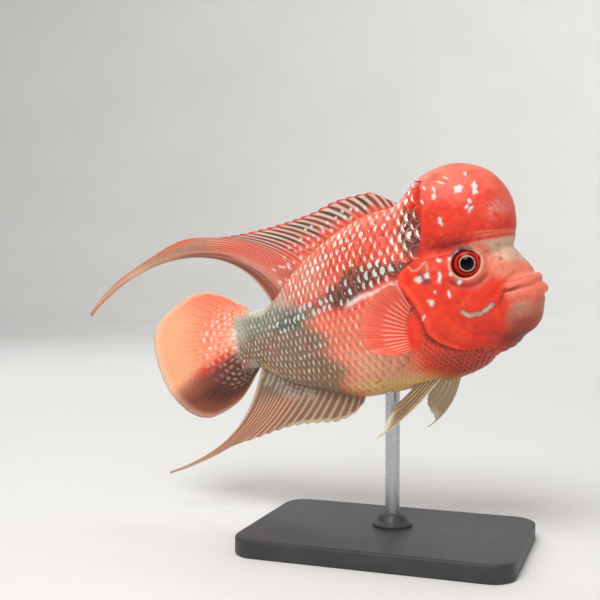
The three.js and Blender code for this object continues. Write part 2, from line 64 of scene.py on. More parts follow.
def pchip(xs, ys):
    xs, ys = np.asarray(xs, float), np.asarray(ys, float)
    d = np.diff(ys) / np.diff(xs)
    m = np.zeros(len(xs)); m[0], m[-1] = d[0], d[-1]
    p = d[:-1] * d[1:]
    with np.errstate(divide="ignore", invalid="ignore"):
        m[1:-1] = np.where(p <= 0, 0, 2 * p / (d[:-1] + d[1:] + 1e-30))

    def f(x):
        x = np.clip(np.asarray(x, float), xs[0], xs[-1])
        a = np.clip(np.searchsorted(xs, x, side="right") - 1, 0, len(xs) - 2)
        h = xs[a + 1] - xs[a]; q = (x - xs[a]) / h; q2 = q * q; q3 = q2 * q
        return (2 * q3 - 3 * q2 + 1) * ys[a] + (q3 - 2 * q2 + q) * h * m[a] + (3 * q2 - 2 * q3) * ys[a + 1] + (q3 - q2) * h * m[a + 1]
    return f


def rows(points, k=1):
    p = np.array(sorted(points), float)
    return pchip(p[:, 0], p[:, k])


top_of, bottom_of, width_of = (pchip(STATIONS[:, 0], STATIONS[:, k]) for k in (1, 2, 3))
gill_edge, nape_edge = pchip(GILL[:, 0], GILL[:, 1]), pchip(NAPE[:, 0], NAPE[:, 1])


def sm(x, a, b):
    q = np.clip((x - a) / (b - a), 0, 1)
    return q * q * (3 - 2 * q)


def bell(x, w):
    return np.exp(-(x / w) ** 2)


def cap(x, r):
    return np.where(x <= 0, 1, np.sqrt(np.maximum(1e-4, 1 - (x / r) ** 2)))


def smin(a, b, k):
    h = np.maximum(k - np.abs(a - b), 0) / k
    return np.minimum(a, b) - h * h * k * 0.25


def radial(rho, r, e):
    return rho * (1 - 1 / np.maximum(r, 1e-6) ** (1 / e))


def main_body(s, y, t):
    over = np.maximum(s - SNOUT_S, PEDUNCLE_S - s)
    q = np.clip(s, PEDUNCLE_S, SNOUT_S)
    e = cap(q - (SNOUT_S - SNOUT_CAP), SNOUT_CAP + 0.02) * cap(PEDUNCLE_S + TAIL_CAP - q, TAIL_CAP + 0.02)
    top, bot, tail = top_of(q), bottom_of(q), sm(-q, 90, 99)
    c = (top + bot) / 2
    h = (top - bot) / 2 * np.where(q < 0, 1 - (1 - e) * 0.35, e)
    w = width_of(q) * e
    v = (t - c) / h
    head = sm(q, 34, 62)
    up, down = 1.78 + 0.5 * head + 0.6 * tail, 2.15 + 0.2 * head + 0.4 * tail
    r = (np.abs(y) / w) ** 2.1 + np.abs(v) ** np.where(v > 0, up, down)
    d = radial(np.hypot(y, t - c), r, 2.05)
    return np.where(over > 0, np.maximum(d, 0) + over, d)


def hump_ball(s, y, t):
    a, b, c, e = np.abs(s - HUMP["s"]), np.abs(y), np.abs(t - HUMP["t"]), HUMP["e"]
    r = (a / HUMP["rs"]) ** e + (b / HUMP["ry"]) ** e + (c / HUMP["rt"]) ** e
    return radial(np.sqrt(a * a + b * b + c * c), r, e)


def lip(L, s, y, t):
    best, n, p = np.full(np.shape(s), 1e9), 14, None
    for i in range(n + 1):
        a = math.pi / 2 * (1 - i / n)
        qs = L["sc"] + (L["sf"] - L["sc"]) * math.sin(math.pi / 2 - a) ** 0.9
        q = (qs, L["w"] * math.sin(a) ** 0.75, L["tc"] + (L["tf"] - L["tc"]) * ((qs - L["sc"]) / (L["sf"] - L["sc"])),
             L["rc"] + (L["rf"] - L["rc"]) * (i / n))
        if p is not None:
            dx, dy, dz = q[0] - p[0], q[1] - p[1], q[2] - p[2]
            k = np.clip(((s - p[0]) * dx + (y - p[1]) * dy + (t - p[2]) * dz) / (dx * dx + dy * dy + dz * dz), 0, 1)
            best = np.minimum(best, np.sqrt((s - p[0] - k * dx) ** 2 + (y - p[1] - k * dy) ** 2 + (t - p[2] - k * dz) ** 2)
                              - (p[3] + k * (q[3] - p[3])))
        p = q
    return best


def body(s, y, t):
    s, y, t = (np.asarray(x, float) for x in (s, y, t))
    ay = np.abs(y)
    d = smin(main_body(s, ay, t), hump_ball(s, ay, t), 1.6 + 7 * (1 - sm(s, 24, 42)))
    f = s > 40
    if np.any(f):
        d = d.copy()
        e = smin(d[f], lip(UPPER_LIP, s[f], ay[f], t[f]), 2.6)
        d[f] = smin(e, lip(LOWER_LIP, s[f], ay[f], t[f]), 2.6)
    g = (s > 10) & (t < 18) & (t > -35)
    return d - np.where(g, 0.9 * sm(s - gill_edge(t), -0.5, 1.6) * (1 - sm(s, 40, 62)), 0)


def normal(s, y, t, h=0.08):
    g = np.stack([body(s + h, y, t) - body(s - h, y, t), body(s, y + h, t) - body(s, y - h, t),
                  body(s, y, t + h) - body(s, y, t - h)], -1) / (2 * h)
    return g


def sway(s):
    q = np.clip((BEND_FROM - s) / BEND_LENGTH, 0, 1)
    return BEND_SIDE * q * q * (3 - 2 * q)


def sway_slope(s):
    q = np.clip((BEND_FROM - s) / BEND_LENGTH, 0, 1)
    return -BEND_SIDE / BEND_LENGTH * 6 * q * (1 - q)


def place(s, y, t):
    """body frame in mm to the model's frame in metres"""
    k = sway_slope(s); n = np.hypot(1, k)
    a, b = s - y * k / n, sway(s) + y / n
    return np.stack([a * math.cos(PITCH) - t * math.sin(PITCH), b,
                     AXIS_Z + a * math.sin(PITCH) + t * math.cos(PITCH)], -1) / 1000


def wobble(s, y, t, f, seed=0.0):
    """smooth unevenness between about -1 and 1, with features 1/f mm across"""
    a = np.sin(s * f * 2.1 + 1.7 * np.sin(t * f * 1.3 + seed) + seed) * np.sin(t * f * 1.9 + 1.3 * np.sin(y * f * 1.7 + seed * 2))
    b = np.sin(s * f * 4.3 + 2.0 * np.sin(y * f * 2.9 + seed * 3)) * np.sin(t * f * 3.7 + 1.9 * np.sin(s * f * 2.3 + seed))
    return 0.65 * a + 0.35 * b


def line_gap(s, t, pts):
    """distance in the s, t plane to a line through points"""
    best = np.full(np.shape(s), 1e9)
    for (a, b), (c, d) in zip(pts[:-1], pts[1:]):
        dx, dy = c - a, d - b
        k = np.clip(((s - a) * dx + (t - b) * dy) / (dx * dx + dy * dy), 0, 1)
        best = np.minimum(best, np.hypot(s - a - k * dx, t - b - k * dy))
    return best


# ------------------------------------------------------------------ regions and marks
def scaled(s, t):
    """1 where the body carries scales"""
    edge = np.where(t > 18, nape_edge(t), gill_edge(t))
    edge = np.where(t < -34, 52.0, edge)
    return sm(edge - s, -0.6, 0.6)


CHEEK_BAR = [(42.6, -13.6), (45.4, -16.0), (50.4, -16.2), (54.6, -14.6), (57.6, -12.6)]
CORNER_FOLD = [(65.2, -6.6), (62.9, -10.3), (61.2, -13.2)]
NOSE_FOLD = [(66.5, -1.6), (71, 0.6), (76, 1.6), (80, 0.2)]
CHIN_FOLD = [(63.5, -14.2), (70, -13.9), (77, -13.4), (82, -12.6)]
PREOPERCLE = [(37, 4), (35.5, -8), (37.5, -19), (45, -26.5), (57, -28.5)]
CREAM_LINE = [(14.5, 8.4), (1.9, 5.6), (-7.2, 4.9), (-15.5, 2.0)]
SQUIGGLE = [(21.4, 15.2), (22.8, 12.6), (25.6, 12.4), (28.2, 14.6), (29.6, 15.8), (29.9, 12.4), (29.7, 9.6)]
# white flecks: s, t, half length, half width, lean in degrees from upright
FLECKS = [(52.3, 49.0, 1.9, 1.9, 20), (53.6, 49.2, 1.2, 1.2, 0), (60.6, 48.6, 2.4, 1.2, -4), (60.4, 45.9, 1.5, 1.3, 10),
          (57.2, 41.6, 1.3, 0.9, -20), (55.3, 38.9, 1.1, 1.0, 0), (56.8, 37.2, 1.8, 0.8, 52),
          (39.4, 48.0, 1.5, 1.2, 0), (40.0, 51.6, 2.4, 0.55, -12), (43.8, 54.8, 2.4, 0.5, -62), (46.8, 56.4, 1.6, 0.5, -50),
          (40.6, 34.6, 2.3, 1.0, -4), (57.0, 56.0, 1.4, 0.6, -12), (34.6, 54.0, 1.6, 0.6, -30), (33.0, 46.6, 1.6, 0.6, -20),
          (36.0, 14.9, 1.4, 0.9, -55), (34.8, 6.2, 2.9, 0.75, 14), (38.0, -3.0, 1.9, 0.8, 6), (28.9, -5.6, 1.7, 1.2, -8),
          (25.4, 7.4, 1.7, 1.7, 0), (29.3, 8.5, 1.5, 1.2, 30), (40.9, 14.3, 0.9, 0.7, 0), (40.6, 7.0, 1.1, 0.9, 0),
          (44.2, 1.8, 1.3, 1.0, 60), (24.0, -12.6, 1.6, 0.5, 24), (31.6, -1.0, 0.9, 0.6, 0)]
DARK_SPOTS = [(28.6, 5.4, 2.0, 1.5), (26.2, 9.2, 1.0, 1.8)]
# dark blotches along the side: s, t, half length, half height
BLOTCHES = [(22.0, 13.8, 5.6, 4.4), (13.6, 15.4, 5.4, 3.8), (4.8, 15.8, 5.2, 5.0), (-3.6, 14.6, 5.2, 7.2), (-11.0, 13.8, 7.0, 8.4),
            (-16.4, 9.0, 6.4, 6.8), (-23.6, 7.6, 6.0, 6.4), (-32.0, 6.0, 6.4, 5.0), (-43, 3.4, 7.0, 4.6), (-55, 0.8, 8.0, 4.4), (-68, -0.6, 8.0, 4.0)]
NAPE_PATCH = (24.6, 33.0, 7.0, 12.5)


def lobe_gap(s, t):
    return np.hypot((s - 18.0 - 0.1 * (t + 19.5)) / 4.6, (t + 19.5) / 10.5)


def orbit_gap(s, t):
    return np.hypot(s - EYE["s"], t - EYE["t"])


def relief(s, y, t):
    """folds, lids and grooves of the skin, outward in mm"""
    ay = np.abs(y)
    side = sm(ay, 5, 9)
    rho = orbit_gap(s, t)
    low = sm(EYE["t"] - t, -2, 6)
    r = side * (0.85 * bell(rho - 7.9, 0.85) - 0.35 * bell(rho - 10.6, 0.9) - 0.45 * low * bell(rho - 12.2, 1.1))
    r -= side * 3.6 * (1 - sm(rho, 6.4, 7.3))
    r -= 1.35 * bell(np.maximum(lip(MOUTH, s, ay, t), 0), 0.75) * sm(s, 61, 66)
    r -= 0.45 * bell(np.maximum(lip(LIP_FOLD, s, ay, t), 0), 0.7) * sm(s, 63, 67)
    r -= side * 0.55 * bell(line_gap(s, t, CORNER_FOLD), 0.8)
    r -= 0.55 * bell(line_gap(s, t, NOSE_FOLD), 1.0)
    r -= 0.22 * bell(line_gap(s, t, CHIN_FOLD), 1.2)
    r += 0.3 * bell(line_gap(s, t, [(66, -15.8), (74, -15.6), (81, -14.6)]), 1.6)
    r += 0.05 * sm(s, 62, 68) * np.sin(s * 2.2 + t * 0.6 + 1.5 * np.sin(t * 0.7)) * (1 - sm(np.abs(t + 6), 12, 18))
    r -= side * 0.5 * bell(line_gap(s, t, PREOPERCLE), 1.2)
    r += side * 0.3 * bell(line_gap(s, t, [(33, 3), (31.5, -9), (33.5, -21), (42, -29)]), 1.6)
    r += side * 0.35 * bell(line_gap(s, t, [(64.5, -2.6), (60.4, -6.8), (57.6, -12)]), 2.0)
    r -= side * 0.4 * bell(line_gap(s, t, [(62.4, -4.4), (58.8, -9.4)]), 0.9)
    nose = np.hypot(s - 66.0, t - 9.4)
    r += side * (-0.9 * bell(nose, 0.7) + 0.18 * bell(nose - 1.4, 0.6))
    # hump: soft lumps, and fine creases where it meets the snout
    h = sm(t, 19.5, 24)
    r += h * sm(s, 28, 36) * (0.34 * wobble(s, y, t, 0.09, 1.0) + 0.10 * wobble(s, y, t, 0.33, 2.0) + 0.03 * wobble(s, y, t, 1.1, 7.0))
    r -= 0.35 * sm(s, 52, 58) * (bell(t - 22.6 + 0.05 * (s - 60), 0.55) + 0.7 * bell(t - 24.6 + 0.12 * (s - 60), 0.5)) * sm(s, 50, 56)
    # gill cover: a membrane rim and shallow rays of bone
    g = (t < 14) & (t > -34)
    e = s - gill_edge(t)
    r += np.where(g, 0.3 * bell(e - 2.2, 1.3) - 0.35 * bell(e - 5.0, 1.4), 0) * side * (1 - sm(s, 44, 56))
    r += side * 1.2 * (1 - sm(lobe_gap(s, t), 0.1, 1.15))
    # branchiostegal folds under the throat
    b = sm(-t, 31, 35) * sm(s, 44, 50) * (1 - sm(s, 66, 70))
    r += b * 0.14 * np.sin((t * 1.3 + s * 0.55) * 1.3)
    # cheek unevenness
    c = sm(s, 26, 34) * (1 - sm(s, 62, 70)) * (1 - sm(t, 14, 19))
    r += c * (0.16 * wobble(s, y, t, 0.22, 4.0) + 0.05 * wobble(s, y, t, 0.9, 5.0))
    r -= 0.5 * scaled(s, t) * sm(PEDUNCLE_S + 2 - s, -4, 0) ** 0
    return r


def rgb(r, g, b):
    c = np.array([r, g, b], float) / 255
    return np.where(c <= 0.04045, c / 12.92, ((c + 0.055) / 1.055) ** 2.4)


def mix(c, colour, w):
    w = np.clip(w, 0, 1)[..., None]
    return c * (1 - w) + colour * w


def blob(s, t, b, soft=0.35):
    d = np.hypot((s - b[0]) / b[2], (t - b[1]) / b[3])
    return 1 - sm(d, 1 - soft, 1 + soft)


def fleck_mask(s, t, marks, soft=0.3):
    w = np.zeros(np.shape(s))
    for a, b, hl, hw, lean in marks:
        c, d = math.cos(math.radians(lean)), math.sin(math.radians(lean))
        u, v = (s - a) * c - (t - b) * d, (s - a) * d + (t - b) * c
        q = np.hypot(u / hw + 0.24 * np.sin(v * 1.7 + a * 3), v / hl + 0.16 * np.sin(u * 2.1 + b * 2)) + 0.05 * np.sin(u * 5 + v * 4 + a)
        w = np.maximum(w, 1 - sm(q, 1 - soft, 1 + soft))
    return w


OLIVE_EDGE = rows([(-50, -30), (-35, -25), (-20, -31), (-8, -36), (4, -43), (12, -52), (20, -62), (30, -70)])


def olive(s, t):
    return sm(OLIVE_EDGE(t) + 3 * np.sin(t * 0.35) - s, -8, 12)


def paint(s, y, t, skin=True):
    """colour of skin and scales at a place on the body"""
    ay = np.abs(y)
    n1, n2 = wobble(s, y, t, 0.06, 3.0), wobble(s, y, t, 0.25, 6.0)
    c = np.zeros(np.shape(s) + (3,)) + rgb(233, 62, 40)
    # flanks
    c = mix(c, rgb(212, 90, 72), sm(28 - s, 0, 12) * sm(t, 4, 12))
    c = mix(c, rgb(214, 152, 134), sm(-s, 12, 44) * sm(t, 6, 14) * 0.7)
    c = mix(c, rgb(182, 40, 30), 0.4 * sm(wobble(s, y, t, 0.12, 19.0), 0.1, 0.7) * sm(t, 4, 12))
    c = mix(c, rgb(234, 134, 110), sm(t - top_of(s), -10, -3) * sm(24 - s, 0, 8) * 0.75)
    c = mix(c, rgb(238, 120, 96), sm(20 - s, 0, 16) * sm(-t, -6, 6) * 0.85)
    c = mix(c, rgb(206, 60, 44), 0.35 * sm(n1, 0.1, 0.8) * sm(20 - s, 0, 10))
    c = mix(c, rgb(246, 160, 126), sm(20 - s, 0, 20) * sm(-t, 18, 34) * 0.85)
    # belly and chest
    c = mix(c, rgb(250, 192, 126), sm(-t, 38, 46) * sm(36 - s, 0, 16) * 0.95)
    c = mix(c, rgb(168, 50, 34), sm(-t, 30, 37) * sm(s, 22, 34) * (1 - sm(s, 52, 60)) * 0.85)
    c = mix(c, rgb(178, 60, 42), sm(-t, 28, 34) * sm(s, 10, 26) * (1 - sm(s, 30, 44)) * 0.5)
    c = mix(c, rgb(214, 140, 90), sm(-t, 44, 47.5) * sm(s, 16, 30) * (1 - sm(s, 40, 48)) * 0.7)
    # rear: olive grey, greener above, browner below
    o = olive(s, t)
    rear = mix(np.zeros_like(c) + rgb(128, 104, 82), rgb(136, 102, 72), sm(-t, 16, 32))
    rear = mix(rear, rgb(128, 132, 118), sm(t, -9, 2) * 0.85)
    rear = mix(rear, rgb(206, 158, 142), sm(t + 0.35 * (s + 70), 6, 14) * 0.85)
    rear = mix(rear, rgb(98, 78, 64), 0.5 * sm(n1, 0.0, 0.8))
    rear = mix(rear, rgb(166, 96, 78), 0.45 * sm(wobble(s, y, t, 0.11, 8.0), 0.1, 0.8))
    c = c * (1 - o[..., None]) + rear * o[..., None]
    c = mix(c, rgb(232, 96, 72), (1 - o) * o * 2.2 * sm(n2, -0.4, 0.6) * 0.8)
    for b in BLOTCHES:
        dark = rgb(66, 58, 52) if b[0] > -25 else rgb(84, 86, 78)
        c = mix(c, dark, blob(s + 1.8 * n2, t + 1.6 * n1, b, 0.45) * (0.9 if b[0] > -25 else 0.6))
    c = mix(c, rgb(66, 54, 48), blob(s + n2, t + 2 * n1, NAPE_PATCH, 0.35) * (1 - sm(s, 29.8, 31)) * 0.92)
    c = mix(c, rgb(238, 218, 206), bell(line_gap(s, t, CREAM_LINE), 1.5) * 0.9)
    # top of the tail root, and the tan streak below it
    c = mix(c, rgb(214, 204, 184), sm(t - top_of(s), -5.5, -2) * sm(-s, 74, 84) * 0.85)
    c = mix(c, rgb(186, 142, 84), bell(t - bottom_of(s) - 2.5, 2.2) * sm(-s, 74, 82) * (1 - sm(-s, 90, 95)) * 0.8)
    c = mix(c, rgb(204, 196, 180), sm(-s, 94, 104) * sm(t, -14, 2) * 0.6)
    c = mix(c, rgb(150, 78, 62), sm(-s, 94, 102) * sm(-t, 12, 20) * 0.8)
    # head: everything in front of the gill edge
    head = np.clip((1 - scaled(s + 0.8 * np.sin(t * 1.28), t)) * sm(s, 12, 16), 0, 1)
    h = np.zeros_like(c) + rgb(222, 58, 38)
    h = mix(h, rgb(204, 50, 34), sm(-t, 8, 30) * 0.6)
    h = mix(h, rgb(238, 96, 70), 0.35 * sm(wobble(s, y, t, 0.13, 16.0), 0.1, 0.8) * (1 - sm(s, 58, 66)))
    h = mix(h, rgb(176, 34, 24), 0.35 * sm(wobble(s, y, t, 0.2, 17.0), 0.25, 0.9))
    h = mix(h, rgb(242, 76, 50), bell(line_gap(s, t, [(24, 4), (30, -14), (38, -26)]), 5.0) * 0.55)
    hump = sm(t, 19, 21.5) * sm(s, 24, 30)
    # lighter towards the top of the hump: painted highlight
    hc = mix(np.zeros_like(c) + rgb(226, 64, 46), rgb(238, 128, 102), sm(t, 40, 62) * 0.85)
    hc = mix(hc, rgb(240, 138, 112), sm(wobble(s, y, t, 0.14, 15.0), 0.0, 0.7) * sm(t, 36, 48) * 0.35)
    # darker low on the hump and deepest in the crease above the eye: painted shade under the hump's overhang
    hc = mix(hc, rgb(202, 44, 30), (1 - sm(t, 20, 35)) * 0.7)
    hc = mix(hc, rgb(120, 14, 10), bell(t - 21.0 + 0.10 * (s - 45), 4.2) * bell(s - 42, 14) * 0.9)
    hc = mix(hc, rgb(222, 150, 122), (bell(t - 22.9 + 0.05 * (s - 60), 0.5) + bell(t - 24.9 + 0.12 * (s - 60), 0.4)) * sm(s, 53, 60) * 0.7)
    hc = mix(hc, rgb(226, 98, 78), sm(s, 66, 76) * sm(t, 26, 36) * 0.55)
    hc = mix(hc, rgb(212, 136, 122), (0.45 + 0.55 * sm(wobble(s, y, t, 0.26, 9.0), -0.1, 0.4)) * bell(np.hypot((s - 70) / 6.5, (t - 35.6) / 5.5), 0.95) * 0.85)
    hc = mix(hc, rgb(196, 168, 160), sm(wobble(s, y, t, 0.6, 14.0), 0.25, 0.55) * bell(np.hypot((s - 69) / 6.5, (t - 35.6) / 5.5), 0.95) * 0.75)
    hc = mix(hc, rgb(186, 40, 30), 0.4 * sm(wobble(s, y, t, 0.16, 11.0), 0.05, 0.8))
    hc = mix(hc, rgb(246, 128, 100), 0.30 * sm(wobble(s, y, t, 0.5, 12.0), 0.35, 0.9))
    h = h * (1 - hump[..., None]) + hc * hump[..., None]
    snout = sm(s + 0.35 * t, 58, 66) * sm(t + 0.12 * (s - 64), -3.5, 2.5) * (1 - hump)
    h = mix(h, rgb(222, 134, 110), snout * 0.9)
    h = mix(h, rgb(240, 84, 60), 0.3 * (1 - snout) * sm(wobble(s, y, t, 0.3, 13.0), 0.2, 0.8))
    h = mix(h, rgb(208, 176, 152), snout * sm(t + 0.45 * (s - 70) + 1.5 * n2, 5, 11) * 0.92)
    h = mix(h, rgb(232, 122, 100), snout * bell(t - 3, 3.5) * sm(s, 70, 78) * 0.8)
    h = mix(h, rgb(196, 78, 60), snout * sm(wobble(s, y, t, 0.35, 18.0), 0.2, 0.8) * 0.4)
    chin = sm(s - 0.25 * t, 66, 73) * sm(-t, 11, 15)
    h = mix(h, rgb(190, 104, 82), chin * 0.85)
    h = mix(h, rgb(178, 150, 126), chin * bell(np.hypot((s - 71) / 5, (t + 16.5) / 3.4), 1.0) * 0.6)
    h = mix(h, rgb(184, 122, 100), sm(s - 0.5 * (t + 20), 60, 67) * sm(-t, 13.5, 16.5) * (1 - sm(-t, 21, 27)) * sm(n2 + 0.5 * n1, -0.5, 0.3) * 0.75)
    h = mix(h, rgb(160, 62, 44), chin * sm(-t, 18, 25) * 0.85)
    h = mix(h, rgb(118, 32, 22), sm(-t, 25, 31) * sm(s, 50, 62) * 0.85)
    h = mix(h, rgb(176, 62, 44), sm(-t, 33.5, 35.5) * sm(s, 46, 52) * 0.6)
    ul, ll = lip(UPPER_LIP, s, ay, t), lip(LOWER_LIP, s, ay, t)
    lips = np.maximum(1 - sm(ul, 0.2, 1.8), 1 - sm(ll, 0.2, 3.0)) * sm(s, 62, 68)
    h = mix(h, rgb(240, 132, 106), lips * 0.9)
    h = mix(h, rgb(214, 84, 66), lips * sm(wobble(s, y * 0.6, t * 1.6, 0.4, 23.0), 0.15, 0.8) * 0.45)
    h = mix(h, rgb(244, 150, 126), lips * sm(t, -2.6, -1.2) * 0.6)
    # dark along the mouth slit, the fold over the upper lip and the fold at the mouth corner: painted shade in these
    # creases
    h = mix(h, rgb(120, 24, 18), bell(np.maximum(lip(MOUTH, s, ay, t), 0), 0.8) * sm(s, 63, 68) * 0.9)
    h = mix(h, rgb(176, 58, 44), bell(np.maximum(lip(LIP_FOLD, s, ay, t), 0), 0.6) * sm(s, 63, 67) * 0.55)
    h = mix(h, rgb(140, 26, 20), bell(line_gap(s, t, CORNER_FOLD), 1.0) * sm(ay, 6, 9) * 0.6)
    # eye surround
    rho = orbit_gap(s, t)
    side = sm(ay, 6, 9)
    h = mix(h, rgb(220, 120, 98), side * (1 - sm(rho, 12, 16)) * sm(s, 46, 54) * (1 - hump) * 0.75)
    h = mix(h, rgb(228, 172, 152), side * bell(rho - 8.0, 0.85) * 0.9)
    h = mix(h, rgb(58, 52, 56), side * bell(rho - 8.2, 1.3) * sm(t, 14.6, 16.6) * sm(s, 39, 43) * (1 - sm(s, 52, 55)) * 0.9)
    # pale arc along the top of the eye rim: painted highlight
    h = mix(h, rgb(226, 218, 214), side * bell(rho - 7.5, 0.45) * sm(t, 15.2, 16.8) * bell(s - 47.5, 4) * 0.8)
    h = mix(h, rgb(150, 128, 108), side * bell(rho - 9.6, 1.0) * bell(s - 43.5, 3) * sm(EYE['t'] - t, 3, 6) * 0.8)
    # dark red in the fold under the eye: painted shade
    h = mix(h, rgb(150, 32, 24), side * bell(rho - 11.4, 1.7) * sm(EYE["t"] - t, 4, 8) * 0.8)
    h = mix(h, rgb(120, 26, 18), side * (1 - sm(rho, 6.8, 7.5)) * 0.9)
    # darker in the nostril pit: painted shade
    h = mix(h, rgb(140, 76, 62), side * bell(np.hypot(s - 66, t - 9.4), 0.9) * 0.8)
    # painted shade in the fold under the gill cover, red seam along its rear edge
    e = s - gill_edge(t)
    h = mix(h, rgb(250, 96, 66), np.where(t < 14, bell(e - 2.0, 1.6), 0) * (1 - sm(s, 40, 50)) * 0.5)
    out = c * (1 - head[..., None]) + h * head[..., None]
    # painted shade in the fold just behind the gill cover's rear edge
    shade = np.where((t < 16) & (t > -36), bell(e + 1.2, 1.5), 0) * (1 - sm(s, 50, 62)) * (1 - sm(t, 2, 8))
    out = mix(out, rgb(128, 22, 16), shade * 0.8)
    out = mix(out, rgb(226, 66, 48), (1 - sm(lobe_gap(s, t), 0.6, 1.15)) * side * 0.8)
    # thin darker ring where the pectoral base lobe meets the skin: painted shade in the crease
    out = mix(out, rgb(160, 32, 24), bell(lobe_gap(s, t) - 1.1, 0.16) * side * 0.35)
    gap = line_gap(s, t, CHEEK_BAR) + 0.12 * np.sin(s * 1.3 + t)
    out = mix(out, rgb(128, 60, 52), (1 - sm(gap, 1.3, 2.1)) * side * 0.6)
    out = mix(out, rgb(186, 146, 136), (1 - sm(gap, 0.8, 1.35)) * side * 0.92)
    out = mix(out, rgb(222, 204, 192), (1 - sm(gap, 0.1, 0.7)) * side * sm(n2, -0.1, 0.6) * 0.7)
    for d in DARK_SPOTS:
        out = mix(out, rgb(70, 60, 54), blob(s, t, d, 0.4) * side * 0.85)
    out = mix(out, rgb(208, 178, 158), (1 - sm(line_gap(s, t, SQUIGGLE), 0.15, 0.6)) * side * 0.8)
    out = mix(out, rgb(176, 96, 84), fleck_mask(s, t, [(a, b, hl + 0.5, hw + 0.5, k) for a, b, hl, hw, k in FLECKS], 0.35) * sm(ay, 4, 8) * 0.45)
    out = mix(out, rgb(224, 222, 222), fleck_mask(s, t, FLECKS) * sm(ay, 4, 8) * 0.9)
    # brightens the body behind the head, more so on its lower side: painted light that makes up for the dim shade on
    # the underside
    lift = 1.0 + 0.22 * sm(26 - s, 0, 16) * sm(t + 48, 0, 6) + 0.16 * sm(20 - s, 0, 16) * sm(-t, 6, 24) * (1 - o)
    grey = out.mean(-1, keepdims=True)
    out = grey + (out - grey) * (1.06 + 0.0 * head[..., None])
    return np.clip(out * lift[..., None], 0.004, 0.97)


# ------------------------------------------------------------------ mesh helpers
def make_object(name, verts, faces, smooth=True):
    me = bpy.data.meshes.new(name)
    verts = np.ascontiguousarray(verts, np.float32)
    faces = [np.asarray(f, np.int32) for f in (faces if isinstance(faces, list) else [faces])]
    loops = np.concatenate([f.ravel() for f in faces])
    sizes = np.concatenate([np.full(len(f), f.shape[1], np.int32) for f in faces])
    starts = np.concatenate([[0], np.cumsum(sizes)[:-1]]).astype(np.int32)
    me.vertices.add(len(verts)); me.loops.add(len(loops)); me.polygons.add(len(sizes))
    me.vertices.foreach_set("co", verts.ravel())
    me.loops.foreach_set("vertex_index", loops)
    me.polygons.foreach_set("loop_start", starts)
    me.polygons.foreach_set("loop_total", sizes)
    me.update(calc_edges=True)
    me.polygons.foreach_set("use_smooth", np.full(len(sizes), smooth))
    me.validate()
    ob = bpy.data.objects.new(name, me)
    bpy.context.scene.collection.objects.link(ob)
    return ob


def attr(ob, name, values, kind="FLOAT"):
    a = ob.data.attributes.new(name, {"FLOAT": "FLOAT", "COLOR": "FLOAT_COLOR", "VECTOR": "FLOAT_VECTOR"}[kind], "POINT")
    v = np.asarray(values, np.float32)
    if kind == "COLOR":
        v = np.concatenate([v, np.ones((len(v), 1), np.float32)], 1)
    a.data.foreach_set({"FLOAT": "value", "COLOR": "color", "VECTOR": "vector"}[kind], np.ascontiguousarray(v).ravel())


def surface_net(f, xs, ys, zs):
    X, Y, Z = np.meshgrid(xs, ys, zs, indexing="ij")
    V = f(X, Y, Z)
    IN = V < 0
    n = np.array(V.shape)
    count = np.zeros(n - 1, np.int32)
    acc = np.zeros(tuple(n - 1) + (3,))
    lines = (xs, ys, zs)
    faces = []
    for ax in range(3):
        lo = [slice(None)] * 3; hi = [slice(None)] * 3
        lo[ax], hi[ax] = slice(0, -1), slice(1, None)
        a, b = V[tuple(lo)], V[tuple(hi)]
        cross = IN[tuple(lo)] != IN[tuple(hi)]
        r = np.where(cross, a / np.where(cross, a - b, 1), 0)
        P = np.stack([X[tuple(lo)], Y[tuple(lo)], Z[tuple(lo)]], -1)
        step = np.diff(lines[ax])
        sh = [1, 1, 1]; sh[ax] = len(step)
        P[..., ax] += r * step.reshape(sh)
        o1, o2 = [k for k in range(3) if k != ax]
        for d1 in (0, 1):
            for d2 in (0, 1):
                sl = [slice(None)] * 3
                sl[o1] = slice(d1, n[o1] - 1 + d1); sl[o2] = slice(d2, n[o2] - 1 + d2)
                m = cross[tuple(sl)]
                count += m
                acc += P[tuple(sl)] * m[..., None]
    active = count > 0
    idx = np.full(active.shape, -1, np.int64)
    idx[active] = np.arange(active.sum())
    verts = acc[active] / count[active][:, None]
    order = {0: [(0, -1, -1), (0, 0, -1), (0, 0, 0), (0, -1, 0)], 1: [(-1, 0, -1), (-1, 0, 0), (0, 0, 0), (0, 0, -1)],
             2: [(-1, -1, 0), (0, -1, 0), (0, 0, 0), (-1, 0, 0)]}
    for ax in range(3):
        lo = [slice(None)] * 3; hi = [slice(None)] * 3
        lo[ax], hi[ax] = slice(0, -1), slice(1, None)
        cross = IN[tuple(lo)] != IN[tuple(hi)]
        inside = IN[tuple(lo)]
        i, j, k = np.where(cross)
        q = np.stack([idx[i + a, j + b, k + c] for a, b, c in order[ax]], -1)
        flip = ~inside[i, j, k]
        q[flip] = q[flip][:, ::-1]
        faces.append(q)
    return verts, np.concatenate(faces)


def to_surface(P, rounds=4, limit=1.2):
    for _ in range(rounds):
        g = normal(P[:, 0], P[:, 1], P[:, 2])
        v = body(P[:, 0], P[:, 1], P[:, 2])
        step = -0.95 * v[:, None] * g / np.maximum((g * g).sum(1), 0.25)[:, None]
        l = np.linalg.norm(step, axis=1, keepdims=True)
        P = P + step * np.minimum(1, limit / np.maximum(l, 1e-9))
    return P


def quad_edges(F):
    e = np.concatenate([F[:, [0, 1]], F[:, [1, 2]], F[:, [2, 3]], F[:, [3, 0]]])
    e.sort(axis=1)
    u, inv = np.unique(e, axis=0, return_inverse=True)
    return u, inv.reshape(4, -1).T


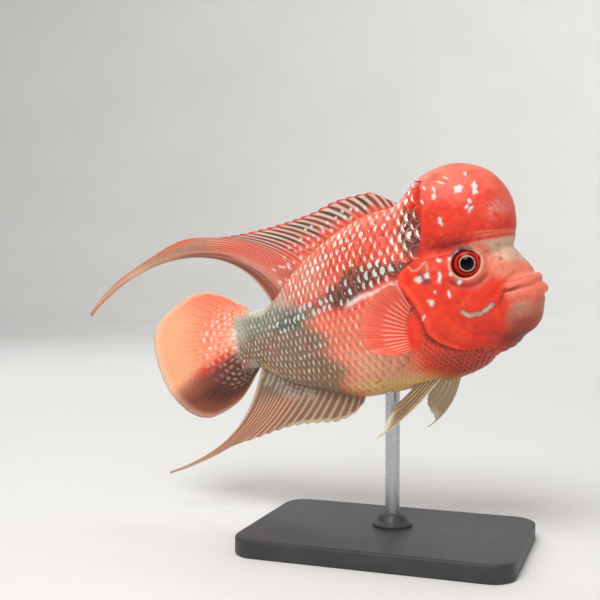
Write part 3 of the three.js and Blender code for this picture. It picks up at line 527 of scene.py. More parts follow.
def relax(P, F, rounds):
    u, _ = quad_edges(F)
    for _ in range(rounds):
        s = np.zeros_like(P); c = np.zeros(len(P))
        np.add.at(s, u[:, 0], P[u[:, 1]]); np.add.at(s, u[:, 1], P[u[:, 0]])
        np.add.at(c, u[:, 0], 1); np.add.at(c, u[:, 1], 1)
        P = to_surface(P + 0.6 * (s / c[:, None] - P), 1)
    return P


def subdivide(P, F):
    u, inv = quad_edges(F)
    n, m = len(P), len(u)
    Q = np.concatenate([P, P[u].mean(1), P[F].mean(1)])
    e = inv + n
    c = np.arange(len(F)) + n + m
    out = [np.stack([F[:, k], e[:, k], c, e[:, (k + 3) % 4]], 1) for k in range(4)]
    return Q, np.concatenate(out)


# ------------------------------------------------------------------ materials
class Nodes:
    def __init__(self, name):
        self.m = bpy.data.materials.new(name)
        self.m.use_nodes = True
        self.t = self.m.node_tree
        self.b = self.t.nodes["Principled BSDF"]

    def add(self, kind, **kw):
        n = self.t.nodes.new(kind)
        for k, v in kw.items():
            if k in n.inputs:
                n.inputs[k].default_value = v
            else:
                setattr(n, k, v)
        return n

    def link(self, a, b):
        self.t.links.new(a, b)

    def attribute(self, name):
        return self.add("ShaderNodeAttribute", attribute_name=name)

    def coords(self):
        return self.add("ShaderNodeTexCoord").outputs["Object"]

    def noise(self, scale, detail=3.0, rough=0.55, vec=None):
        n = self.add("ShaderNodeTexNoise")
        n.inputs["Scale"].default_value = scale
        n.inputs["Detail"].default_value = detail
        n.inputs["Roughness"].default_value = rough
        self.link(vec if vec is not None else self.coords(), n.inputs["Vector"])
        return n.outputs["Fac"]

    def ramp(self, fac, lo, hi, a=0.0, b=1.0):
        n = self.add("ShaderNodeMapRange")
        for k, v in zip(("From Min", "From Max", "To Min", "To Max"), (lo, hi, a, b)):
            n.inputs[k].default_value = v
        self.link(fac, n.inputs["Value"])
        return n.outputs["Result"]

    def math(self, op, a, b=None):
        n = self.add("ShaderNodeMath", operation=op)
        for k, v in enumerate((a, b)):
            if v is None:
                continue
            if isinstance(v, (int, float)):
                n.inputs[k].default_value = v
            else:
                self.link(v, n.inputs[k])
        return n.outputs[0]

    def blend(self, fac, a, b, mode="MIX"):
        n = self.add("ShaderNodeMix", data_type="RGBA", blend_type=mode)
        for s, v in ((n.inputs[0], fac), (n.inputs[6], a), (n.inputs[7], b)):
            if isinstance(v, (int, float)):
                s.default_value = v
            elif isinstance(v, (tuple, list, np.ndarray)):
                s.default_value = (*v[:3], 1)
            else:
                self.link(v, s)
        return n.outputs[2]

    def bump(self, height, strength, distance=0.001):
        n = self.add("ShaderNodeBump")
        n.inputs["Strength"].default_value = strength
        n.inputs["Distance"].default_value = distance
        self.link(height, n.inputs["Height"])
        self.link(n.outputs[0], self.b.inputs["Normal"])


def wet(m, rough, coat=0.25, spec=0.5, sss=0.0):
    m.b.inputs["Roughness"].default_value = rough
    m.b.inputs["Coat Weight"].default_value = coat
    m.b.inputs["Coat Roughness"].default_value = 0.22
    m.b.inputs["Specular IOR Level"].default_value = spec
    if sss:
        m.b.inputs["Subsurface Weight"].default_value = sss
        m.b.inputs["Subsurface Scale"].default_value = 0.004
        m.b.inputs["Subsurface Radius"].default_value = (1.0, 0.35, 0.2)


def skin_material():
    m = Nodes("skin_mat")
    col = m.attribute("bcol").outputs["Color"]
    mott = m.ramp(m.noise(260, 4), 0.35, 0.7, 0.9, 1.06)
    fine = m.ramp(m.noise(1500, 2), 0.3, 0.7, 0.95, 1.04)
    k = m.math("MULTIPLY", mott, fine)
    v = m.add("ShaderNodeCombineColor")
    for i in range(3):
        m.link(k, v.inputs[i])
    m.link(m.blend(1.0, col, v.outputs[0], "MULTIPLY"), m.b.inputs["Base Color"])
    pores = m.noise(2400, 2)
    big = m.noise(420, 3)
    m.bump(m.math("ADD", m.math("MULTIPLY", pores, 0.35), big), 0.5, 0.0009)
    m.link(m.ramp(big, 0.3, 0.7, 0.40, 0.52), m.b.inputs["Roughness"])
    wet(m, 0.4, 0.06, 0.4, 0.12)
    return m.m


def scale_material():
    m = Nodes("scale_mat")
    col = m.attribute("bcol").outputs["Color"]
    loc = m.add("ShaderNodeSeparateXYZ")
    m.link(m.attribute("loc").outputs["Vector"], loc.inputs[0])
    p, q = loc.outputs[0], loc.outputs[1]
    ring = m.math("SINE", m.math("MULTIPLY", p, 60.0))
    tint = m.ramp(m.noise(700, 3), 0.3, 0.7, 0.88, 1.08)
    v = m.add("ShaderNodeCombineColor")
    for i in range(3):
        m.link(tint, v.inputs[i])
    base = m.blend(1.0, col, v.outputs[0], "MULTIPLY")
    pearl = m.attribute("pearl").outputs["Fac"]
    pcol = m.attribute("pcol").outputs["Color"]
    m.link(m.blend(m.ramp(pearl, 0.35, 0.65), base, pcol), m.b.inputs["Base Color"])
    rays = m.math("MULTIPLY", m.math("SINE", m.math("MULTIPLY", q, 40.0)), 0.5)
    m.bump(m.math("ADD", m.math("MULTIPLY", ring, 0.25), rays), 0.12, 0.0003)
    wet(m, 0.36, 0.12, 0.45, 0.06)
    return m.m


def fin_material(name, rough=0.42, sss=0.1):
    m = Nodes(name)
    col = m.attribute("bcol").outputs["Color"]
    tint = m.ramp(m.noise(900, 3), 0.3, 0.7, 0.9, 1.07)
    v = m.add("ShaderNodeCombineColor")
    for i in range(3):
        m.link(tint, v.inputs[i])
    m.link(m.blend(1.0, col, v.outputs[0], "MULTIPLY"), m.b.inputs["Base Color"])
    seg = m.add("ShaderNodeSeparateXYZ")
    m.link(m.attribute("loc").outputs["Vector"], seg.inputs[0])
    joints = m.math("SINE", m.math("MULTIPLY", seg.outputs[1], 220.0))
    m.bump(m.math("ADD", m.math("MULTIPLY", joints, 0.3), m.noise(1600, 2)), 0.14, 0.0004)
    wet(m, rough, 0.12, 0.45, sss)
    return m.m


SKIN_MAT, SCALE_MAT = skin_material(), scale_material()
FIN_MAT, CLEAR_MAT, PALE_MAT = fin_material("fin_mat"), fin_material("clear_fin_mat", 0.4, 0.16), fin_material("pale_fin_mat")

# ------------------------------------------------------------------ skin
STEP = 1.55
P, F = surface_net(body, np.arange(-104, 89, STEP), np.arange(-29.3, 29.4, STEP), np.arange(-57, 72, STEP))
P = to_surface(P, 3)
P = relax(P, F, 3)
P, F = subdivide(P, F)
P = to_surface(P, 2)
P = relax(P, F, 1)
N = normal(P[:, 0], P[:, 1], P[:, 2], 0.25)
N /= np.linalg.norm(N, axis=1, keepdims=True)
COL = paint(P[:, 0], P[:, 1], P[:, 2])
R = relief(P[:, 0], P[:, 1], P[:, 2])
Q = P + N * R[:, None]
skin = make_object("skin", place(Q[:, 0], Q[:, 1], Q[:, 2]), F)
attr(skin, "bcol", COL, "COLOR")
skin.data.materials.append(SKIN_MAT)
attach(skin, "root")
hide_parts("head", "nuchal_hump", "lower_jaw", "trunk", "tail")

# ------------------------------------------------------------------ section table for the scales
TS = np.arange(-109.0, 57.01, 1.0)
foot_w = rows([(-112, 0.4), (-109, 0.8), (-105, 1.6), (-101, 2.5), (-98, 3.15), (-95, 3.8), (-92, 4.4)])
TPHI = np.linspace(0.0, math.pi, 181)
ref_t = rows([(-109, -5.4), (-101, -5), (-50, -3), (0, 1), (30, 3), (57, 0)])


def section_table():
    S, PH = np.meshgrid(TS, TPHI, indexing="ij")
    c = (top_of(S) + bottom_of(S)) / 2
    a, b = np.zeros_like(S), np.full_like(S, 75.0)
    for _ in range(26):
        m = (a + b) / 2
        v = body(S, m * np.sin(PH), c + m * np.cos(PH)) < 0
        a, b = np.where(v, m, a), np.where(v, b, m)
    y, t = a * np.sin(PH), c + a * np.cos(PH)
    # behind the flesh the skin runs on over the foot of the tail fin
    f = S < -95.5
    h = (12.2 + 22.6) / 2 + 0.34 * (-95.5 - S)
    y = np.where(f, foot_w(S) * np.sin(PH) ** 0.7, y)
    t = np.where(f, -5.2 + h * np.sign(np.cos(PH)) * np.abs(np.cos(PH)) ** 0.85, t)
    arc = np.concatenate([np.zeros((len(TS), 1)), np.cumsum(np.hypot(np.diff(y, axis=1), np.diff(t, axis=1)), 1)], 1)
    zero = np.array([np.interp(-ref_t(TS[i]), -t[i], arc[i]) for i in range(len(TS))])
    return y, t, zero[:, None] - arc          # arc is 0 on the side line, positive upward


TY, TT, TA = section_table()
TA_TOP, TA_BOT = TA[:, 0], TA[:, -1]


def on_side(s, a):
    """place on the body's side at s, a mm of skin above the side line"""
    f = np.clip((s - TS[0]), 0, len(TS) - 1.001)
    i = f.astype(int); r = f - i
    out = []
    for k in (i, i + 1):
        y = np.zeros(len(s)); t = np.zeros(len(s))
        for col in np.unique(k):
            m = k == col
            x = np.clip(a[m], TA_BOT[col], TA_TOP[col])
            y[m] = np.interp(-x, -TA[col], TY[col]); t[m] = np.interp(-x, -TA[col], TT[col])
        out.append((y, t))
    return (out[0][0] * (1 - r) + out[1][0] * r, out[0][1] * (1 - r) + out[1][1] * r)


# ------------------------------------------------------------------ scales
def scale_rows(s_from, s_to, pitch, spacing, keep):
    """roots of scales: s, arc, row pitch, spacing, column and row number"""
    found, s, i = [], s_from, 0
    while s > s_to:
        rp, ds = float(pitch(s)), float(spacing(s))
        k = int(np.clip(s - TS[0], 0, len(TS) - 1))
        lo, hi = TA_BOT[k] + 0.3 * rp, TA_TOP[k] - 0.15 * rp
        for j in range(int(math.ceil(lo / rp)), int(math.floor(hi / rp)) + 1):
            if (i + j) % 2 == 0:
                found.append((s, j * rp, rp, ds, i, j))
        s -= ds / 2; i += 1
    found = np.array(found)
    y, t = on_side(found[:, 0], found[:, 1])
    m = keep(found[:, 0], y, t)
    return found[m], y[m], t[m]


def build_scales(name, roots, side, nx, nq, lift, style):
    R_, n = roots, len(roots)
    p = np.linspace(0, 1, nx + 1); q = np.linspace(-1, 1, nq + 1)
    PP, QQ = np.meshgrid(p, q, indexing="ij")
    g = PP.size
    hh, L = 0.95 * R_[:, 2], 1.52 * R_[:, 3]
    jig = RNG.normal(0, 1, (n, 3))
    # the rear edge is round; the front is hidden under the scales ahead
    reach = 1 - 0.5 * np.abs(QQ) ** 2.3
    x = (PP * reach)[None] * L[:, None, None] - 0.28 * L[:, None, None]
    narrow = 0.62 + 0.38 * np.sin(np.clip(PP * 1.25, 0, 1) * math.pi / 2)
    aa = (QQ * narrow)[None] * hh[:, None, None]
    lean = jig[:, 0] * 0.03
    S = R_[:, 0, None, None] - x + aa * lean[:, None, None]
    Aa = R_[:, 1, None, None] + aa + x * lean[:, None, None]
    S, Aa = S.reshape(-1), Aa.reshape(-1)
    y, t = on_side(S, Aa)
    hgt = (-0.52 + lift * PP ** 1.25 - 0.10 * QQ ** 2 + 0.05 * np.sin(PP * math.pi))[None] * np.ones((n, 1, 1)) + jig[:, 1, None, None] * 0.025 * PP
    hgt = hgt.reshape(-1)
    ctr_s = np.repeat(R_[:, 0], g)
    nv = normal(S, np.maximum(y, 0.05), t, 0.3)
    nv /= np.linalg.norm(nv, axis=1, keepdims=True)
    foot = sm(-S, 94.5, 96.5)[:, None]
    tip = np.stack([np.full_like(S, -0.22), np.ones_like(S), 0.4 * np.clip((t + 5.2) / 19, -1, 1) ** 3], -1)
    nv = nv * (1 - foot) + foot * tip / np.linalg.norm(tip, axis=1, keepdims=True)
    col = paint(S, y, t, False)
    qq, pp = np.tile(QQ.reshape(-1), n), np.tile(PP.reshape(-1), n)
    pearl, pcol, col = style(R_, S, y, t, pp, qq, g, jig, col)
    verts, loc, cols, prl, pcs = [], [], [], [], []
    for lower in (0, 1):
        h = hgt - 0.17 * lower * (0.35 + 0.65 * (1 - pp))
        w = np.stack([S, y, t], -1) + nv * h[:, None]
        w[:, 1] = np.maximum(w[:, 1], 0.02) * side
        verts.append(w)
        loc.append(np.stack([pp, qq, np.repeat(jig[:, 2], g)], -1))
        cols.append(col); prl.append(pearl); pcs.append(pcol)
    V = np.concatenate(verts)
    i, j = np.meshgrid(np.arange(nx), np.arange(nq), indexing="ij")
    a = (i * (nq + 1) + j).ravel(); b = a + nq + 1
    top = np.stack([a, b, b + 1, a + 1], 1)
    if side > 0:
        top = top[:, ::-1]
    rim = []
    for k in range(nx):
        rim += [[k * (nq + 1), (k + 1) * (nq + 1)], [(k + 1) * (nq + 1) + nq, k * (nq + 1) + nq]]
    for k in range(nq):
        rim += [[nx * (nq + 1) + k, nx * (nq + 1) + k + 1], [k + 1, k]]
    rim = np.array(rim)
    base = (np.arange(n) * g)[:, None, None]
    T = (top[None] + base).reshape(-1, 4)
    B = T[:, ::-1] + n * g
    Rm = (rim[None] + base).reshape(-1, 2)
    if side > 0:
        Rm = Rm[:, ::-1]
    Rf = np.stack([Rm[:, 1], Rm[:, 0], Rm[:, 0] + n * g, Rm[:, 1] + n * g], 1)
    ob = make_object(name, place(V[:, 0], V[:, 1], V[:, 2]), np.concatenate([T, B, Rf]))
    attr(ob, "bcol", np.concatenate(cols), "COLOR")
    attr(ob, "pcol", np.concatenate(pcs), "COLOR")
    attr(ob, "pearl", np.concatenate(prl))
    attr(ob, "loc", np.concatenate(loc), "VECTOR")
    # one patch for each scale, at its root's place along and up the side
    ci, rj = R_[:, 4] // 2, R_[:, 5] - R_[:, 5].min()
    nc, nr = ci.max() + 1, rj.max() + 1
    u = (np.repeat(ci, g) + 0.06 + 0.88 * pp) / nc
    v = (np.repeat(rj, g) + 0.06 + 0.88 * (qq + 1) / 2) / nr
    uv = ob.data.uv_layers.new(name="OFBake")
    li = np.zeros(len(ob.data.loops), np.int32)
    ob.data.loops.foreach_get("vertex_index", li)
    U = np.concatenate([np.stack([u, v], -1)] * 2)
    uv.data.foreach_set("uv", U[li].astype(np.float32).ravel())
    ob.data.materials.append(SCALE_MAT)
    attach(ob, "root")
    return ob


def flank_style(R_, S, y, t, pp, qq, g, jig, col):
    s0, t0 = R_[:, 0], None
    n = len(R_)
    y0, t0 = on_side(R_[:, 0] - 0.5 * R_[:, 3], R_[:, 1])
    o = olive(s0, t0)
    flower = np.zeros(n)
    for b in BLOTCHES:
        flower = np.maximum(flower, blob(s0, t0, (b[0], b[1], b[2] * 1.05, b[3] * 1.1), 0.4))
    nape = blob(s0, t0, NAPE_PATCH, 0.3)
    upper = sm(t0, 4, 10) * (1 - o)
    near_top = sm(t0 - top_of(s0), -19, -12) * (1 - sm(t0 - top_of(s0), -5, -2)) * sm(18 - s0, 0, 8)
    lower = sm(-t0, -6, 2) * (1 - o)
    r1, r2 = RNG.random(n), RNG.random(n)
    size = 0.78 * upper + 0.6 * o + 0.58 * lower
    size = np.maximum(size, 0.95 * flower * (0.6 + 0.55 * r2)); size = np.maximum(size, 0.9 * nape); size = np.maximum(size, 1.15 * near_top * (0.6 + 0.5 * r2)); size = np.maximum(size, 0.8 * o * (0.7 + 0.4 * r2))
    size *= 0.78 + 0.45 * r1
    on = np.where(upper > 0.5, r2 < 0.86, True) & ~((flower > 0.5) & (r1 < 0.2))
    size = np.where(on, size, 0.12)
    size *= 1 - 0.55 * sm(-t0, 30, 42)
    lum = np.ones((n, 1))
    pc = np.zeros((n, 3)) + rgb(246, 228, 218)
    pc = mix(pc, rgb(252, 188, 166), lower * 0.95)
    pc = mix(pc, rgb(204, 186, 172), o * 0.95)
    pc = mix(pc, rgb(176, 184, 170), o * sm(t0, -8, 2) * (1 - sm(t0, 10, 18)) * 0.8)
    pc = mix(pc, rgb(196, 214, 206), flower * 0.95)
    pc = mix(pc, rgb(228, 176, 128), sm(-t0, 36, 44) * 0.9)
    pc = pc * (0.9 + 0.16 * r1[:, None])
    rep = lambda v: np.repeat(v, g, axis=0)
    # a short upright crescent near the rear edge
    mid = 0.80 - 0.20 * qq ** 2
    tall = rep(np.clip(0.22 + 0.28 * size * (0.7 + 0.5 * RNG.random(n)), 0.1, 0.56))
    wide = rep(0.042 + 0.052 * size * (0.6 + 0.7 * r2))
    wide = np.where(rep(flower) > 0.4, wide * 1.5, wide)
    d = np.hypot((pp - mid - rep(jig[:, 2]) * 0.015) / wide, (qq - rep(jig[:, 0]) * 0.06) / tall)
    pearl = (1 - sm(d, 0.55, 1.45)) * rep(np.clip(size * 1.6, 0, 1))
    second = (near_top * (RNG.random(n) < 0.5) + o * (RNG.random(n) < 0.10) + flower * (RNG.random(n) < 0.5) + upper * (RNG.random(n) < 0.18)) > 0.4
    d2 = np.hypot((pp - mid + 0.17) / (wide * 0.8), (qq - rep(jig[:, 1]) * 0.2) / (tall * 0.7))
    pearl = np.maximum(pearl, (1 - sm(d2, 0.55, 1.45)) * rep(second * 1.0) * 0.9)
    # the lower side shows pale rims, the rear darker pockets
    rim = sm(pp, 0.84, 0.97)
    col = mix(col, rgb(246, 168, 146), rim * rep(lower) * 0.65 * (1 - sm(np.abs(qq), 0.6, 0.9)))
    pocket = sm(1 - pp, 0.25, 0.7)
    col = mix(col, rgb(84, 62, 50), pocket * rep(o) * 0.55)
    col = mix(col, rgb(158, 24, 18), pocket * rep(upper) * 0.6)
    col = mix(col, rgb(250, 132, 110), bell(pp - 0.9, 0.09) * rep(upper) * 0.35)
    col = mix(col, rgb(170, 82, 60), pocket * rep(lower) * 0.45)
    # dark scales with pale outlines on the nape
    outline = bell(pp - 0.93, 0.05) * rep(nape * (r1 > 0.25))
    col = mix(col, rgb(222, 176, 150), outline * 0.9)
    return pearl, rep(pc), col


def small_style(R_, S, y, t, pp, qq, g, jig, col):
    n = len(R_)
    rep = lambda v: np.repeat(v, g, axis=0)
    rim = sm(pp, 0.72, 0.95)
    red = sm(R_[:, 0], 14, 26)
    edge = mix(np.zeros_like(col) + rgb(236, 172, 124), rgb(206, 92, 72), rep(red) * 0.9)
    col = col * (1 - 0.45 * rim[:, None]) + edge * 0.45 * rim[:, None]
    col = mix(col, rgb(110, 30, 22), sm(1 - pp, 0.3, 0.7) * rep(red) * 0.55)
    col = mix(col, rgb(156, 104, 60), sm(1 - pp, 0.3, 0.7) * rep(1 - red) * 0.4)
    return np.zeros(n * g), rep(np.zeros((n, 3)) + rgb(240, 200, 170)), col


row_pitch = rows([(-109, 3.0), (-100, 3.2), (-86, 3.5), (-60, 4.3), (-30, 4.8), (40, 4.9)])
col_space = rows([(-109, 2.6), (-100, 2.9), (-80, 3.3), (-50, 4.0), (-10, 4.5), (40, 4.6)])
chest_edge = rows([(-10, -41), (2, -37.5), (9, -35), (13.5, -31), (16, -14), (19, -5), (23, -1.5), (60, 0)])
CHEST = lambda s, t: (t < chest_edge(s)) & (s > -8)


def keep_flank(s, y, t):
    edge = np.where(t > 18, nape_edge(t) + 1.5 * np.sin(t * 0.62 + 1.0) - 0.6, gill_edge(t))
    return (s < edge + 1.2) & ~CHEST(s, t) & (s > -105.0) & ((s > -96.5) | (t > -24.0 - 0.25 * (-96.5 - s))) & ((s > -98.0) | (t < 9.6))


def keep_chest(s, y, t):
    return CHEST(s, t) & (lobe_gap(s, t) > 1.0) & (s < 51) & ((t < -34.6) | (s < gill_edge(t) + 0.3))


fine = 1.0
flank, _, _ = scale_rows(36.0, -105.0, row_pitch, col_space, keep_flank)
chest, _, _ = scale_rows(52.0, -8.0, lambda s: 2.5, lambda s: 2.7, keep_chest)
for side, tag in ((-1, "r"), (1, "l")):
    front = flank[flank[:, 0] > -24]; rear = flank[flank[:, 0] <= -24]
    build_scales("scales_front_" + tag, front, side, 14, 12, 0.74, flank_style)
    build_scales("scales_rear_" + tag, rear, side, 12, 10, 0.70, flank_style)
    build_scales("scales_chest_" + tag, chest, side, 6, 6, 0.62, small_style)
print("scales", len(flank), len(chest))

# ------------------------------------------------------------------ fins
def bez(c, w):
    a = 1 - w
    return a ** 3 * c[0] + 3 * a * a * w * c[1] + 3 * a * w * w * c[2] + w ** 3 * c[3]


def key_curves(keys):
    """keys: u, then four control points (s, t); returns a function of u"""
    us = [k[0] for k in keys]
    f = [[pchip(us, [k[1 + i][d] for k in keys]) for d in (0, 1)] for i in range(4)]
    return lambda u: [np.stack([f[i][0](u), f[i][1](u)], -1) for i in range(4)]


def even_u(margin, n):
    """values of u spaced for even steps along the margin and the root"""
    u = np.linspace(0, 1, 4001)
    c = margin(u)
    d = np.zeros(4000)
    for k, wt in ((0, 0.6), (3, 1.0)):
        d += wt * np.linalg.norm(np.diff(c[k], axis=0), axis=1)
    d = np.concatenate([[0], np.cumsum(d + 1e-4)])
    return np.interp(np.linspace(0, d[-1], n + 1), d, u)


def solid_sheet(name, mid, nrm, half, colour, loc, mat, node):
    """closed thin sheet from a grid of middle points in the body frame"""
    colour = np.clip((colour - colour.mean(-1, keepdims=True)) * 1.06 + colour.mean(-1, keepdims=True), 0.004, 1) * 1.12
    colour = np.clip(colour, 0.004, 0.95)
    nu, nv = mid.shape[0] - 1, mid.shape[1] - 1
    a, b = mid - nrm * half[..., None], mid + nrm * half[..., None]
    V = np.concatenate([a.reshape(-1, 3), b.reshape(-1, 3)])
    i, j = np.meshgrid(np.arange(nu), np.arange(nv), indexing="ij")
    x = (i * (nv + 1) + j).ravel(); y = x + nv + 1; o = (nu + 1) * (nv + 1)
    A = np.stack([x, y, y + 1, x + 1], 1)
    B = A[:, ::-1] + o
    rim = []
    for k in range(nu):
        rim += [[k * (nv + 1), (k + 1) * (nv + 1)], [(k + 1) * (nv + 1) + nv, k * (nv + 1) + nv]]
    for k in range(nv):
        rim += [[nu * (nv + 1) + k, nu * (nv + 1) + k + 1], [k + 1, k]]
    rim = np.array(rim)
    Rf = np.stack([rim[:, 1], rim[:, 0], rim[:, 0] + o, rim[:, 1] + o], 1)
    F_ = np.concatenate([A, B, Rf])
    W = place(V[:, 0], V[:, 1], V[:, 2])
    # faces point outward
    f0 = A[len(A) // 2]; n0 = np.cross(W[f0[1]] - W[f0[0]], W[f0[2]] - W[f0[0]])
    if np.dot(n0, W[f0[0]] - W[f0[0] + o]) < 0:
        F_ = F_[:, ::-1]
    ob = make_object(name, W, F_)
    attr(ob, "bcol", np.concatenate([colour.reshape(-1, 3)] * 2), "COLOR")
    attr(ob, "loc", np.concatenate([loc.reshape(-1, 3)] * 2), "VECTOR")
    ob.data.materials.append(mat)
    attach(ob, "root"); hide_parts(node)
    return ob


def ridge(r, sharp=1.6):
    """1 on a ray, 0 midway between rays"""
    return (0.5 + 0.5 * np.cos(2 * math.pi * r)) ** sharp


def median_fin(name, keys, rays, per, nv, colour, half, node, branch=0.5, ripple=0.0, notch=0.02):
    curves = key_curves(keys)
    u = even_u(curves, rays * per)
    w = np.linspace(0, 1, nv + 1)
    c = curves(u)
    # rays are spaced evenly over the root for most of the fin
    r = rays * np.linspace(0, 1, len(u))
    U, W = np.meshgrid(u, w, indexing="ij")
    Rr = np.repeat(r[:, None], nv + 1, 1)
    rd = ridge(Rr)
    fork = sm(W, branch, branch + 0.2)
    rd = rd * (1 - fork) + fork * (0.45 * rd + 0.55 * ridge(Rr * 2 + 0.5))
    W2 = W * (1 - notch * (1 - ridge(Rr, 0.7)) * sm(W, 0.8, 1.0) * (1 - sm(U, 0.62, 0.74)))
    pt = np.stack([bez([k[:, None, d] for k in c], W2) for d in (0, 1)], -1)
    yy = ripple * np.sin(Rr * 0.9 + 2.0 * W) * sm(W, 0.15, 0.9)
    mid = np.stack([pt[..., 0], yy, pt[..., 1]], -1)
    nrm = np.zeros_like(mid); nrm[..., 1] = -1
    th = half(W, U, pt[..., 0]) * (0.6 + 0.55 * rd)
    if node == "caudal_fin":
        th = np.maximum(th, (foot_w(pt[..., 0]) - 0.45) * np.sqrt(np.maximum(0.0, 1 - (2 * U - 1) ** 6)) * (1 - sm(-pt[..., 0], 107, 111)))
    col = colour(pt[..., 0], pt[..., 1], Rr, W, U, rd)
    loc = np.stack([Rr, W, U], -1)
    return solid_sheet(name, mid, nrm, th, col, loc, FIN_MAT, node)


def spots(pos, s, t, soft=0.35):
    w = np.zeros(np.shape(s))
    for a, b, r in pos:
        w = np.maximum(w, 1 - sm(np.hypot(s - a, t - b) / r, 1 - soft, 1 + soft))
    return w


DORSAL = [
    (0.00, (18.5, 46.5), (18.0, 47.6), (17.6, 48.6), (17.0, 50.2)),
    (0.06, (14.0, 46.0), (13.6, 49.5), (12.6, 52.0), (10.6, 54.6)),
    (0.14, (7.0, 46.5), (5.6, 52.0), (3.2, 57.0), (-1.5, 61.4)),
    (0.24, (-4.0, 46.0), (-7.0, 51.5), (-12.0, 57.5), (-20.0, 62.0)),
    (0.36, (-17.0, 43.5), (-21.5, 49.0), (-29.0, 55.0), (-40.0, 58.7)),
    (0.48, (-30.0, 39.5), (-36.0, 46.0), (-45.5, 52.5), (-61.0, 57.9)),
    (0.58, (-42.0, 34.0), (-50.0, 43.5), (-63.0, 51.5), (-83.0, 58.3)),
    (0.66, (-51.0, 29.5), (-61.0, 42.0), (-79.0, 54.0), (-104.0, 59.8)),
    (0.72, (-57.0, 25.5), (-69.0, 42.0), (-92.0, 58.5), (-130.0, 64.2)),
    (0.78, (-62.0, 22.0), (-75.0, 43.0), (-108.0, 63.0), (-157.0, 58.1)),
    (0.84, (-66.0, 18.5), (-79.0, 44.0), (-122.0, 68.0), (-183.0, 48.4)),
    (0.90, (-70.0, 15.5), (-82.5, 45.5), (-136.0, 72.0), (-204.0, 35.4)),
    (0.95, (-73.5, 13.0), (-85.5, 48.5), (-143.0, 73.0), (-207.4, 31.6)),
    (1.00, (-76.5, 10.5), (-88.5, 51.5), (-149.0, 72.0), (-207.4, 29.6)),
]
DORSAL_SPOTS = [(-4 - 4.7 * i + 0.7 * math.sin(i * 5), float(top_of(-4 - 4.7 * i)) + 4.4 + 1.5 * math.sin(i * 2.3), 0.9 + 0.35 * math.sin(i * 1.7) ** 2) for i in range(15)]
DORSAL_SPOTS += [(-8 - 5.2 * i + 0.8 * math.sin(i * 3), float(top_of(-8 - 5.2 * i)) + 8.4 + 1.3 * math.sin(i * 2.9 + 1), 0.8 + 0.3 * math.sin(i * 2.1) ** 2) for i in range(12)]
DORSAL_SPOTS += [(-40 - 4.5 * i, float(top_of(-40 - 4.5 * i)) + 13.4 + 1.6 * math.sin(i * 1.9), 0.95) for i in range(8)]


def dorsal_colour(s, t, r, w, u, rd):
    rear = sm(u, 0.62, 0.78)
    c = np.zeros(np.shape(s) + (3,)) + rgb(204, 84, 68)
    # upper part: cream rays, dark grey between
    up = sm(w + 0.10 * np.sin(r * 2.6), 0.22, 0.5) * (1 - rear)
    stripe = mix(np.zeros_like(c) + rgb(72, 62, 58), rgb(208, 184, 168), sm(rd, 0.25, 0.6))
    up = up * (0.80 + 0.20 * sm(np.sin(r * 1.7), -0.5, 0.8))
    c = c * (1 - up[..., None]) + stripe * up[..., None]
    c = mix(c, rgb(236, 150, 122), (1 - up) * (1 - rear) * sm(rd, 0.35, 0.8) * 0.45)
    c = mix(c, rgb(206, 62, 48), sm(w, 0.91, 0.97) * (1 - sm(u, 0.66, 0.74)) * 0.95)
    c = mix(c, rgb(226, 132, 108), (1 - sm(w, 0.02, 0.16)) * (1 - rear) * 0.75)
    # rear part and the trailing tip
    rr = mix(np.zeros_like(c) + rgb(178, 104, 86), rgb(222, 160, 138), sm(rd, 0.2, 0.7))
    rr = mix(rr, rgb(156, 126, 106), sm(-s, 104, 122) * (1 - sm(-s, 158, 180)) * 0.8)
    rr = mix(rr, rgb(120, 60, 48), bell(u - 0.865, 0.018) * sm(-s, 92, 104) * (1 - sm(-s, 126, 150)) * 0.8)
    rr = mix(rr, rgb(214, 150, 134), spots([(-66 - 6.1 * i, 30 + 2.2 * i + 3 * math.sin(i * 2.1), 1.0) for i in range(9)], s, t) * 0.8)
    rr = mix(rr, rgb(150, 84, 66), sm(-s, 164, 186) * 0.8)
    rr = mix(rr, rgb(226, 196, 172), sm(-s, 150, 170) * bell(u - 0.9, 0.06) * 0.5)
    rr = mix(rr, rgb(84, 50, 44), sm(u, 0.84, 0.93) * (1 - sm(w, 0.45, 0.8)) * (1 - sm(u, 0.98, 1.0)) * 0.8)
    rr = mix(rr, rgb(206, 70, 54), sm(u, 0.66, 0.72) * (1 - sm(u, 0.78, 0.86)) * (1 - sm(w, 0.5, 0.8)) * 0.55)
    rr = mix(rr, rgb(206, 178, 152), sm(u, 0.975, 0.995) * 0.8)
    rr = mix(rr, rgb(166, 78, 64), (1 - sm(w, 0.06, 0.3)) * 0.45)
    rr = mix(rr, rgb(206, 90, 68), sm(u, 0.62, 0.70) * (1 - sm(u, 0.74, 0.80)) * sm(w, 0.86, 0.95) * 0.8)
    rr = mix(rr, rgb(196, 122, 98), bell(t - (63 - 0.11 * np.abs(s + 120)), 1.6) * sm(-s, 110, 130) * (1 - sm(-s, 170, 190)) * 0.6)
    c = c * (1 - rear[..., None]) + rr * rear[..., None]
    c = mix(c, rgb(228, 204, 198), spots(DORSAL_SPOTS, s, t) * 0.82)
    return c


median_fin("dorsal", DORSAL, 34, 9, 40, dorsal_colour,
           lambda w, u, s: 0.62 - 0.34 * sm(w, 0.0, 0.8), "dorsal_fin", 0.75, 0.5, 0.045)

